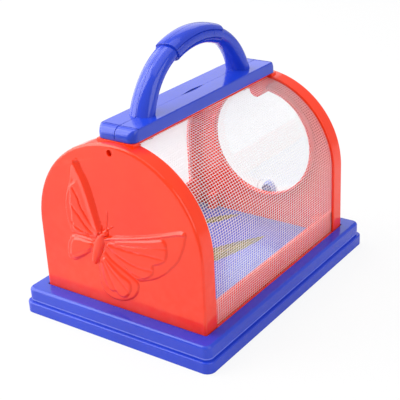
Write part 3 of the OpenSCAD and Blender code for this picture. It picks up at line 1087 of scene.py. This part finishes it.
        total = np.maximum(total, self.dome(head, self.skull_r, self.skull_h))
        for line in self.feelers:
            gap, _ = self.distance(grid, self.curve(line, False))
            total = np.maximum(total, self.dome(gap, self.feeler_r, self.feeler_h))
        return total

    def build(self, spring: float) -> Island:
        """Makes the relief in the wall's own frame.

        Args:
            spring: Height of the arch's spring line.

        Returns:
            The relief, closed behind inside the wall.
        """
        skin = Island()
        spans = [high - low for low, high in zip(self.low, self.high)]
        counts = [round(s / self.cell) for s in spans]
        bmesh.ops.create_grid(skin.bm, x_segments=counts[0], y_segments=counts[1], size=0.5)
        skin.move(Matrix.Diagonal((*spans, 1, 1)))
        middle = [(low + high) / 2 for low, high in zip(self.low, self.high)]
        skin.shift((*middle, 0))
        verts = skin.bm.verts[:]
        heights = self.heights(np.array([v.co[:2] for v in verts]))
        for vert, height in zip(verts, heights):
            vert.co = (vert.co.x, -height, vert.co.y)
        bare = [f for f in skin.bm.faces if all(v.co.y > self.sink - NEAR for v in f.verts)]
        bmesh.ops.delete(skin.bm, geom=bare, context="FACES")
        pinched = [v for v in skin.bm.verts if sum(e.is_boundary for e in v.link_edges) > 2]
        bmesh.ops.delete(skin.bm, geom=list({f for v in pinched for f in v.link_faces}), context="FACES")
        front = skin.bm.verts[:]
        bmesh.ops.extrude_face_region(skin.bm, geom=skin.bm.faces[:], use_keep_orig=True)
        for vert in front:
            vert.co.y = self.root
        skin.weld()
        skin.shift((-self.left, 0, self.waist - spring))
        return skin


@dataclass
class FrontWall(EndWall):
    """Front wall with its butterfly and a tie hole under the crown."""

    node: str = "front_wall"
    hole_r: float = 1.8
    hole_drop: float = 4.4

    def islands(self) -> List[Island]:
        """Returns the panel with its rim and hole, and the butterfly."""
        skin = Island()
        z = self.half_width - self.hole_drop
        rings = [skin.ring(self.hole_r, (0, y, z), Y_AXIS, 28) for y in (0.0, self.wall)]
        skin.skin(rings)
        self.shell(skin, *rings)
        return [skin, Butterfly().build(self.spring)]


@dataclass
class RearWall(EndWall):
    """Rear wall with the round hole, its lip and the boss for the door's pivot."""

    node: str = "rear_wall"
    rear: bool = True
    hole_r: float = 35.4
    hole_z: float = HOLE_Z
    lip_depth: float = 5.6
    lip: float = 1.8
    lip_round: float = 2.6
    pivot_z: float = PIVOT_Z
    pivot_r: float = 4.7
    pivot_in: float = 0.6
    pivot_depth: float = 9.6

    def islands(self) -> List[Island]:
        """Returns the panel with its rim and lipped hole, and the pivot's boss."""
        skin = Island()
        inner, outer = self.hole_r, self.hole_r + self.lip
        section = [(inner + self.lip_round + self.lap, 0), (inner, 0), (inner, self.lip_depth),
                   (outer, self.lip_depth), (outer, self.wall)]
        softened = ((1, self.lip_round, 7), (2, self.lip_edge, 3), (3, self.lip_edge, 3))
        skin.profile([(r, d, 0) for r, d in section], softened)
        skin.turn_full(Y_AXIS, 112)
        skin.shift((0, 0, self.hole_z - self.spring))
        holes = [skin.rim_where(lambda c: abs(c.y - depth) < NEAR) for depth in (0.0, self.wall)]
        self.shell(skin, *holes)
        high = self.pivot_depth - self.pivot_in
        stem = [(0, 0), (self.pivot_r, 0), (self.pivot_r, high), (0, high)]
        boss = Island().lathe(stem, (0, self.pivot_in, self.pivot_z - self.spring), Y_AXIS, {2: 0.5}, 36)
        return [skin, boss]


@dataclass
class Rails:
    """Bottom rails and ridge rail that grip the screens."""

    web_x: float = 51.0
    web: float = 2.0
    lip_x: float = 53.8
    out_x: float = 55.4
    lip_root: float = 0.5
    floor: float = FLOOR_Z
    web_top: float = 27.4
    lip_top: float = 14.2
    web_l: float = 146.4
    web_edge: float = 0.45
    lip_l: float = 130.0
    lip_edge: float = 0.25
    ridge_w: float = 9.2
    lip_w: float = 7.4
    lip_low: float = 107.5
    keel: float = 4.6
    slot_x: float = 5.6
    ridge_low: float = 105.4
    ridge_high: float = BAR_Z
    ridge_l: float = 130.3
    ridge_edge: float = 0.2
    tongue_in: float = 60.0
    tongue_out: float = 73.35
    tongue_w: float = 8.8
    tongue_low: float = 103.5
    tongue_high: float = 107.8
    tongue_edge: float = 0.3
    spring: float = SPRING_Z
    slot_in: float = 53.0
    slot_out: float = 53.8

    def rail(self, side: Side) -> Piece:
        """Makes one bottom rail, with a web inside the screen and a lip outside it.

        Args:
            side: The rail's side.

        Returns:
            The rail.
        """
        sign, low, root = side.value, self.floor, self.web_x + self.lip_root
        web_x = (self.web_x * sign, (self.web_x + self.web) * sign)
        web = Island().box(web_x, (-self.web_l / 2, self.web_l / 2), (low, self.web_top), self.web_edge)
        sill = low + self.web / 2
        section = [(root, low), (self.out_x, low), (self.out_x, self.lip_top), (self.lip_x, self.lip_top),
                   (self.lip_x, sill), (root, sill)]
        section = [(x * sign, z) for x, z in section]
        lip = Island().prism(section, -self.lip_l / 2, self.lip_l / 2, self.lip_edge)
        return Piece(f"{side.word}_rail_moulding", web, lip)

    def arc_z(self, radius: float, x: float) -> float:
        """Height of an arc about the spring line at a distance from the middle."""
        return self.spring + math.sqrt(radius ** 2 - x ** 2)

    def ridge(self) -> Piece:
        """Returns the ridge rail with a slot along each side and tongues under the rims."""
        half = [(self.keel, self.ridge_low), (self.lip_w, self.lip_low)]
        half += [(x, self.arc_z(self.slot_in, x)) for x in (self.lip_w, self.slot_x)]
        half += [(x, self.arc_z(self.slot_out, x)) for x in (self.slot_x, self.ridge_w)]
        half += [(self.ridge_w, self.ridge_high)]
        outline = half + [(-x, z) for x, z in reversed(half)]
        body = Island().prism(outline, -self.ridge_l / 2, self.ridge_l / 2, self.ridge_edge)
        wide, high = (-self.tongue_w, self.tongue_w), (self.tongue_low, self.tongue_high)
        reaches = ((-self.tongue_out, -self.tongue_in), (self.tongue_in, self.tongue_out))
        tongues = [Island().box(wide, reach, high, self.tongue_edge) for reach in reaches]
        return Piece("ridge_moulding", body, *tongues)

    def dress(self) -> None:
        """Builds the rails and dresses them."""
        for side in Side:
            self.rail(side).dress(RED, Slot.RED, Body.CAGE, f"{side.word}_rail")
        self.ridge().dress(RED, Slot.RED, Body.CAGE, "ridge")


@dataclass
class Screens:
    """White screens of crossed threads over the two sides."""

    radius: float = 53.4
    spring: float = SPRING_Z
    low: float = 9.0
    top_x: float = 5.8
    length: float = 134.6
    hoop_pitch: float = 2.1
    line_pitch: float = 1.5
    thread: float = 0.25
    depth: float = 0.08
    weave: float = 0.4
    arch_steps: int = 26

    @property
    def sweep(self) -> float:
        """Angle from the spring line to the ridge."""
        return math.acos(self.top_x / self.radius)

    @property
    def drop(self) -> float:
        """Length of the straight sides."""
        return self.spring - self.low

    def panel(self, side: Side) -> Piece:
        """Makes the screen of one side.

        Args:
            side: The side.

        Returns:
            The screen.
        """
        islands = [self.hoops(), self.lines()]
        for island in islands:
            island.move(Matrix.Diagonal((side.value, 1, 1, 1)))
            island.weld()
            island.shift((0, 0, self.spring))
        return Piece(f"{side.word}_screen_threads", *islands)

    def start(self, island: Island, wide: float) -> bmesh.types.BMFace:
        """Draws the section of a thread at the spring line.

        Args:
            island: The skin.
            wide: Size along y.

        Returns:
            The section's face.
        """
        x, y = self.depth / 2, wide / 2
        corners = [(-x, -y), (x, -y), (x, y), (-x, y)]
        return island.bm.faces.new([island.bm.verts.new((self.radius + a, b, 0)) for a, b in corners])

    def hoops(self) -> Island:
        """Returns the threads that follow the arch."""
        island = Island()
        face = self.start(island, self.thread)
        island.pull([face], (0, 0, -self.drop))
        island.spin([face], ORIGIN, -Y_AXIS, self.sweep, self.arch_steps)
        bmesh.ops.delete(island.bm, geom=[face], context="FACES_ONLY")
        island.weld()
        count = int(self.length / self.hoop_pitch)
        island.shift((0, -count * self.hoop_pitch / 2, 0))
        island.repeat(island.everything, Y_AXIS, self.hoop_pitch, count)
        return island

    def lines(self) -> Island:
        """Returns the straight threads along the cage."""
        island = Island()
        island.pull([self.start(island, self.length)], (0, 0, self.thread))
        island.shift((self.depth * self.weave, 0, -self.thread / 2))
        one = island.everything
        bmesh.ops.spin(island.bm, geom=one, cent=ORIGIN, axis=-Y_AXIS, angle=self.sweep,
                       steps=round(self.sweep * self.radius / self.line_pitch), use_duplicate=True)
        island.repeat(one, -Z_AXIS, self.line_pitch, int(self.drop / self.line_pitch))
        return island

    def dress(self) -> None:
        """Builds the screens and dresses them."""
        for side in Side:
            self.panel(side).dress(WHITE, Slot.WHITE, Body.CAGE, f"{side.word}_screen", False)


@dataclass
class Handle:
    """Bar and carrying handle, parted along the middle plane into two shells."""

    bar_w: float = 24.8
    bar_l: float = 141.0
    bar_low: float = BAR_Z
    bar_top: float = 118.5
    bar_corner: float = 4.5
    bar_nose: float = 5.0
    bar_edge: float = 0.6
    bar_under: float = 0.5
    corner_ease: float = 0.6
    nose_steps: int = 12
    grip_z: float = 89.6
    grip_arc: float = 60.0
    grip_angle: float = 21.0
    grip_w: float = 15.4
    grip_t: float = 11.4
    leg_w: float = 13.4
    leg_t: float = 9.0
    leg_end: float = 77.25
    shoulder_y: float = 6.87
    shoulder_z: float = 107.5
    shoulder_arc: float = 40.83
    leg_sink: float = 2.0
    leg_power: float = 2.2
    leg_flare: float = 0.14
    leg_spread: float = 1.4
    grip_power: float = 2.5
    tube_steps: int = 72
    leg_steps: int = 30
    grip_steps: int = 36
    groove_at: float = 2.3
    groove: float = 0.7
    collar_at: float = 11.7
    collar_groove: float = 0.5
    collar_half: float = 0.35
    collar_edge: float = 0.7
    seam: float = 0.04
    seam_edge: float = 0.08
    crease_half: float = 0.4
    crease: float = 1.3
    crease_band: float = 0.5
    nose_gap: float = 0.16
    nose_from: float = 52.0
    gape: float = 1.1
    gape_half: float = 11.0
    gape_power: float = 1.3
    gape_steps: int = 10

    def bar(self) -> Island:
        """Returns the whole bar, with its ends rounded towards its top."""
        skin, under = Island(), self.bar_under
        insets = [(under, under, self.bar_corner - under, self.bar_low),
                  (0.0, 0.0, self.bar_corner, self.bar_low + under)]
        for step in range(self.nose_steps + 1):
            turn = math.pi / 2 * step / self.nose_steps
            drop, in_y = (self.bar_nose * (1 - part) for part in (math.sin(turn), math.cos(turn)))
            rest = max(self.bar_edge - drop, 0.0)
            in_x = self.bar_edge - math.sqrt(self.bar_edge ** 2 - rest ** 2)
            insets.append((in_x, in_y, self.bar_corner - self.corner_ease * in_y, self.bar_top - drop))
        skin.stack(self.bar_w, self.bar_l, insets)
        for step in range(self.gape_steps + 1):
            skin.slice((0, self.gape_half * (2 * step / self.gape_steps - 1), 0), Y_AXIS)
        for end in (-1, 1):
            y = end * (self.bar_l / 2 - self.bar_nose)
            for beside in (y - self.crease_half, y + self.crease_half, end * self.nose_from):
                skin.slice((0, beside, 0), Y_AXIS)
            for vert in verts_in(skin.slice((0, y, 0), Y_AXIS)):
                if vert.co.z > self.bar_top - self.crease_band:
                    vert.co.z -= self.crease
        return skin

    def section(self, skin: Island, width: float, thick: float, power: float) -> None:
        """Draws the oval section of a tube in x and y, filled.

        Args:
            skin: The skin.
            width: Size along x.
            thick: Size along y.
            power: 2 for an ellipse, more for a squarer oval.
        """
        points = []
        for number in range(self.tube_steps):
            turn = 2 * math.pi * (number + 0.5) / self.tube_steps
            x, y = (math.copysign(abs(p) ** (2 / power), p) for p in (math.cos(turn), math.sin(turn)))
            points.append((x * width / 2, y * thick / 2, 0))
        skin.bm.faces.new(skin.wire(points, True))

    def leg(self, side: int) -> Island:
        """Makes one leg, from inside the bar, where it widens a little, to inside the grip.

        Args:
            side: -1 for the near leg, 1 for the far one.

        Returns:
            The leg.
        """
        skin = Island()
        self.section(skin, self.leg_w, self.leg_t, self.leg_power)
        centre = Vector((0, self.shoulder_y, self.shoulder_z))
        skin.shift(centre + Vector((0, self.shoulder_arc, 0)))
        lean = Matrix.Translation(centre) @ Matrix.Rotation(math.radians(90 - self.leg_end), 4, "X")
        skin.move(lean @ Matrix.Translation(-centre))
        sweep = math.radians(self.leg_end - self.grip_angle + self.leg_sink)
        skin.spin(skin.bm.faces[:], centre, X_AXIS, sweep, self.leg_steps)
        for vert in skin.bm.verts:
            arm = (vert.co - centre) * Vector((0, 1, 1))
            turn = math.degrees(math.atan2(arm.y, arm.z))
            share = max((turn - self.grip_angle) / (self.leg_end - self.grip_angle), 0.0) ** 2
            outer = max(arm.length - self.shoulder_arc, 0.0) / (self.leg_t / 2)
            flare = Vector((vert.co.x * self.leg_flare * share, 0, 0))
            vert.co += flare + arm.normalized() * outer * self.leg_spread * share
        if side < 0:
            skin.move(Matrix.Diagonal((1, -1, 1, 1)))
        skin.weld()
        return skin

    def grip(self) -> Island:
        """Returns the grip with its collars and two grooves along each side."""
        skin = Island()
        self.section(skin, self.grip_w, self.grip_t, self.grip_power)
        for level in (-self.groove_at, self.groove_at):
            for side in (-1, 1):
                line = [v for v in skin.bm.verts if v.co.x * side > 0]
                vert = min(line, key=lambda v: abs(v.co.y - level))
                vert.co.x -= side * self.groove
        turn = math.radians(self.grip_angle)
        skin.move(Matrix.Rotation(math.pi / 2, 4, "X"))
        skin.shift((0, 0, self.grip_arc))
        skin.move(Matrix.Rotation(turn, 4, "X"))
        skin.spin(skin.bm.faces[:], ORIGIN, X_AXIS, -2 * turn, self.grip_steps)
        skin.weld()
        ends = [f for f in skin.bm.faces if len(f.verts) > 4]
        skin.round_off([e for f in ends for e in f.edges], self.collar_edge, 3)
        self.collar_line(skin)
        skin.shift((0, 0, self.grip_z))
        return skin

    def collar_line(self, skin: Island) -> None:
        """Sinks the line across the grip before its far collar.

        Args:
            skin: The grip, with its arc about the origin.
        """
        for beside in (-self.collar_half, self.collar_half, 0.0):
            angle = math.radians(self.collar_at + beside)
            line = skin.slice(ORIGIN, Vector((0, math.cos(angle), -math.sin(angle))))
        middle = Vector((0, math.sin(angle), math.cos(angle))) * self.grip_arc
        for vert in verts_in(line):
            vert.co -= (vert.co - middle).normalized() * self.collar_groove

    def half(self, side: Side) -> Piece:
        """Makes the shell on one side of the parting plane.

        Args:
            side: The shell's side.

        Returns:
            The shell.
        """
        sign = side.value
        islands = [self.bar(), self.grip(), self.leg(-1), self.leg(1)]
        for island in islands:
            edges = edges_in(island.slice((sign * self.seam, 0, 0), sign * X_AXIS, True))
            bmesh.ops.edgeloop_fill(island.bm, edges=edges)
            bmesh.ops.recalc_face_normals(island.bm, faces=island.bm.faces[:])
            for vert in {v for e in edges for v in e.verts}:
                vert.co.x += sign * self.opening(vert.co)
            island.round_off(edges, self.seam_edge, 2)
        return Piece(f"{side.word}_handle_shell", *islands)

    def opening(self, spot: Vector) -> float:
        """How far a shell stands back where the seam gapes, on the bar's top and ends.

        Args:
            spot: A point of the seam.

        Returns:
            The distance.
        """
        if abs(spot.y) > self.nose_from and spot.z > self.bar_low + 1:
            return self.nose_gap
        if abs(spot.z - self.bar_top) > 0.01 or abs(spot.y) > self.gape_half:
            return 0.0
        return self.gape * math.cos(math.pi / 2 * spot.y / self.gape_half) ** self.gape_power

    def dress(self) -> None:
        """Builds the shells and dresses them."""
        for side in Side:
            self.half(side).dress(BLUE, Slot.BLUE, Body.CAGE, f"{side.word}_handle_half")


@dataclass
class Door:
    """Clear round door with an ear at its pivot and a ringed lobe at its knob."""

    radius: float = 40.0
    middle_z: float = HOLE_Z
    inner_y: float = 76.0
    thick: float = 1.5
    pivot_z: float = PIVOT_Z
    ear_r: float = 6.4
    knob_z: float = 27.0
    lobe_r: float = 7.8
    edge: float = 0.35
    ring: float = 0.7
    ring_in: float = 0.1
    ring_gap: float = 0.01
    stud_r: float = 1.4
    stud_in: float = 0.4
    knob_r: float = 4.8
    knob_l: float = 4.6

    def reach(self, direction: Vector, circle_z: float, circle_r: float) -> float:
        """How far a circle reaches along a direction from the door's middle.

        Args:
            direction: The direction, of length 1.
            circle_z: Height of the circle's centre over the door's middle.
            circle_r: Its radius.

        Returns:
            The distance, or 0 where the direction misses the circle.
        """
        along = direction.z * circle_z
        rest = circle_r ** 2 - circle_z ** 2 + along ** 2
        return along + math.sqrt(rest) if rest > 0 and along > 0 else 0.0

    def sheet(self) -> Piece:
        """Returns the clear sheet."""
        skin = Island()
        edges = skin.ring(self.radius, (0, 0, 0), Y_AXIS, 192)
        bumps = ((self.pivot_z - self.middle_z, self.ear_r), (self.knob_z - self.middle_z, self.lobe_r))
        for vert in skin.bm.verts:
            direction = vert.co.normalized()
            vert.co = direction * max(self.radius, *(self.reach(direction, *bump) for bump in bumps))
        face = bmesh.ops.contextual_create(skin.bm, geom=edges)["faces"]
        skin.pull(face, (0, self.thick, 0))
        skin.weld()
        skin.round_off([e for f in skin.bm.faces if len(f.verts) > 4 for e in f.edges], self.edge, 3)
        skin.shift((0, self.inner_y, self.middle_z))
        inner, outer = self.lobe_r - self.ring, self.lobe_r - self.ring_in
        section = [(inner, 0), (outer, 0), (outer, self.ring), (inner, self.ring), (inner, 0)]
        foot = (0, self.inner_y + self.thick + self.ring_gap, self.knob_z)
        return Piece("door_sheet", skin, Island().lathe(section, foot, Y_AXIS, {2: 0.2, 3: 0.2}, 56))

    def knob(self) -> Piece:
        """Returns the knob with a dished end and the stud that holds it."""
        l, r = self.knob_l, self.knob_r
        section = [(0, 0), (r - 0.9, 0), (r - 0.5, l * 0.35), (r, l * 0.7), (r, l), (r * 0.62, l),
                   (r * 0.5, l - 0.5), (0, l - 0.7)]
        foot = (0, self.inner_y + self.thick, self.knob_z)
        front = Island().lathe(section, foot, Y_AXIS, {3: 0.4, 4: 0.7, 5: 0.3, 6: 0.3}, 48)
        high = self.thick + self.stud_in
        stem = [(0, 0), (self.stud_r, 0), (self.stud_r, high), (0, high)]
        stud = Island().lathe(stem, (0, self.inner_y, self.knob_z), Y_AXIS, {1: 0.25}, 24)
        return Piece("door_knob_turning", front, stud)

    def dress(self) -> None:
        """Builds the door and dresses it."""
        self.sheet().dress(CLEAR, Slot.CLEAR, Body.DOOR, "door")
        self.knob().dress(PALE_BLUE_WITH_PAINTED_LIGHT, Slot.BLUE, Body.DOOR, "door_knob")


@dataclass
class Screws:
    """Pan-head screws with a cross recess."""

    head_r: float = 2.8
    head_h: float = 1.6
    head_in: float = 0.9
    head_drop: float = 0.75
    shank_r: float = 1.4
    tip: float = 0.8
    cross_l: float = 1.7
    cross_w: float = 0.5
    cross_depth: float = 0.9
    cross_taper: float = 0.7
    pivot_seat: Point = (0, 77.8, PIVOT_Z)
    pivot_l: float = 10.1
    handle_seat: Point = (3.0, 46.19, 106.8)
    handle_l: float = 11.2
    base_seat: Point = (40.0, 70.7, 5.8)
    base_l: float = 10.0

    def screw(self, seat: Point, direction: Vector, length: float) -> Island:
        """Makes one screw.

        Args:
            seat: Middle of the head's seat.
            direction: Direction of the shank.
            length: Length of the shank.

        Returns:
            The screw.
        """
        skin = Island()
        head, shank, top = self.head_r, self.shank_r, -self.head_h
        section = [(head - self.head_in, top), (head, top + self.head_drop), (head, 0), (shank, 0),
                   (shank, length - self.tip), (0, length)]
        skin.profile([(r, 0, h) for r, h in section], ((1, 0.6, 4), (2, 0.15, 2)))
        skin.turn_full(Z_AXIS, 32)
        rim = skin.rim_where(lambda c: abs(c.z - top) < NEAR)
        skin.fill(rim + self.recess(skin), -Z_AXIS)
        skin.weld()
        skin.seat(direction, seat)
        return skin

    def recess(self, skin: Island) -> List[BMEdge]:
        """Sinks a cross into the head.

        Args:
            skin: The screw's skin.

        Returns:
            The cross's edges in the head's top.
        """
        long, wide, top = self.cross_l, self.cross_w, -self.head_h
        quarter = [(long, -wide), (long, wide), (wide, wide)]
        points = []
        for turn in range(4):
            points += [(*(Matrix.Rotation(turn * math.pi / 2, 2) @ Vector(p)), top) for p in quarter]
        verts = skin.wire(points, True)
        edges = [skin.bm.edges.get((a, b)) for a, b in zip(verts, verts[1:] + verts[:1])]
        made = bmesh.ops.extrude_edge_only(skin.bm, edges=edges)["geom"]
        deep = verts_in(made)
        bmesh.ops.translate(skin.bm, vec=(0, 0, self.cross_depth), verts=deep)
        bmesh.ops.scale(skin.bm, vec=(self.cross_taper, self.cross_taper, 1), verts=deep)
        floor = [e for e in edges_in(made) if set(deep).issuperset(e.verts)]
        bmesh.ops.contextual_create(skin.bm, geom=floor)
        return edges

    def dress(self) -> None:
        """Builds the screws and dresses them."""
        pivot = Piece("pivot_screw_steel", self.screw(self.pivot_seat, -Y_AXIS, self.pivot_l))
        pivot.dress(STEEL, Slot.STEEL, Body.CAGE, "pivot_screw")
        fours = (("handle_screws", self.handle_seat, self.handle_l),
                 ("base_screws", self.base_seat, self.base_l))
        for node, (x, y, z), length in fours:
            seats = [(a * x, b * y, z) for a in (-1, 1) for b in (-1, 1)]
            screws = [self.screw(seat, Z_AXIS, length) for seat in seats]
            Piece(f"{node}_steel", *screws).dress(STEEL, Slot.STEEL, Body.CAGE, node)


@dataclass
class Softbox:
    """A studio light that looks at the cage."""

    name: str
    place: Point
    width: float
    height: float
    glow: float

    def set_up(self, target: Point) -> None:
        """Puts the light up.

        Args:
            target: Point that it looks at, in metres.
        """
        lamp = bpy.data.lights.new(self.name, "AREA")
        lamp.shape = "RECTANGLE"
        lamp.size = self.width
        lamp.size_y = self.height
        lamp.energy = self.glow * math.pi * self.width * self.height
        holder = link(self.name, lamp)
        holder.location = self.place
        holder.rotation_euler = (Vector(target) - Vector(self.place)).to_track_quat("-Z", "Y").to_euler()
        holder.visible_camera = False


@dataclass
class Studio:
    """Camera, pale floor, soft lights and white surroundings."""

    azimuth: float = 36.005
    elevation: float = 24.409
    roll: float = -2.964
    distance: float = 0.53144
    target: Point = (0.02076, -0.02739, 0.06564)
    lens: float = 86.49
    sensor: float = 36.0
    floor_half: float = 4.0
    floor_front: float = 0.23
    floor_z: float = -0.0001
    floor_colour: Rgb = (0.74, 0.74, 0.75)
    lamp_aim: Point = (0, 0, 0.06)
    ambient: float = 0.56
    floor_glow: float = 0.87
    boxes: Tuple[Softbox, ...] = (
        Softbox("overhead box", (0.0, 0.0, 1.0), 0.9, 0.9, 1.0),
        Softbox("key box", (-0.735, -0.58, 0.58), 0.6, 1.3, 4.1),
        Softbox("left box", (-1.05, 0.05, 0.45), 0.9, 0.9, 2.4),
        Softbox("upper left box", (-0.63, 0.02, 0.98), 0.6, 0.64, 2.2),
        Softbox("rear box", (-0.59, 0.81, 0.57), 0.7, 0.7, 0.8),
        Softbox("side box", (1.0, -0.2, 0.6), 0.9, 0.9, 1.9),
    )

    def camera(self) -> None:
        """Sets the camera at the photograph's viewpoint."""
        turn, lift, roll = (math.radians(a) for a in (self.azimuth, self.elevation, self.roll))
        back = Vector((math.sin(turn) * math.cos(lift), -math.cos(turn) * math.cos(lift), math.sin(lift)))
        right = (-back).cross(Z_AXIS).normalized()
        up = right.cross(-back)
        across = math.cos(roll) * right + math.sin(roll) * up
        above = math.cos(roll) * up - math.sin(roll) * right
        data = bpy.data.cameras.new("camera")
        data.sensor_fit = "HORIZONTAL"
        data.sensor_width = self.sensor
        data.lens = self.lens
        data.clip_start = 0.01
        holder = link("camera", data)
        spot = Vector(self.target) + back * self.distance
        holder.matrix_world = Matrix.Translation(spot) @ Matrix((across, above, back)).transposed().to_4x4()
        bpy.context.scene.camera = holder

    def surroundings(self) -> None:
        """Makes the white surroundings."""
        world = bpy.data.worlds.new("white room")
        bpy.context.scene.world = world
        board = Board(world)
        strength = board.span(board.seen(), 0.0, 1.0, self.ambient, 1.0)
        board.feed(board.tree.nodes["Background"], {"Color": (1, 1, 1), "Strength": strength})

    def floor(self) -> None:
        """Lays the pale floor, white to the camera but for the cage's soft shadow."""
        skin = Island()
        bmesh.ops.create_grid(skin.bm, x_segments=1, y_segments=1, size=self.floor_half)
        skin.shift((0, self.floor_half - self.floor_front, self.floor_z))
        skin.move(Matrix.Rotation(math.radians(self.azimuth), 4, "Z"))
        mesh = bpy.data.meshes.new("floor")
        skin.bm.to_mesh(mesh)
        skin.bm.free()
        material = bpy.data.materials.new("pale floor")
        board = Board(material)
        shader = board.tree.nodes["Principled BSDF"]
        board.feed(shader, {"Base Color": self.floor_colour, "Roughness": 0.9, "Specular IOR Level": 0.0})
        light = board.add("ShaderNodeEmission", {"Color": (1, 1, 1), "Strength": 1.0})
        share = board.sum("MULTIPLY", board.seen(), self.floor_glow)
        mixed = board.add("ShaderNodeMixShader", {0: share, 1: shader.outputs[0], 2: light.outputs[0]})
        board.feed(board.tree.nodes["Material Output"], {"Surface": mixed.outputs[0]})
        mesh.materials.append(material)
        link("floor", mesh)

    def set_up(self) -> None:
        """Sets up the whole studio."""
        self.camera()
        self.surroundings()
        self.floor()
        for box in self.boxes:
            box.set_up(self.lamp_aim)
        bpy.context.scene.view_settings.view_transform = "Standard"


def main() -> None:
    """Builds and dresses the cage, piece by piece."""
    logging.basicConfig(level=logging.INFO, format="%(name)s: %(message)s")
    Studio().set_up()
    for part in (Base(), FrontWall(), RearWall(), Rails(), Screens(), Handle(), Door(), Screws()):
        part.dress()
        log.info("%s done", type(part).__name__)


if __name__ == "__main__":
    main()
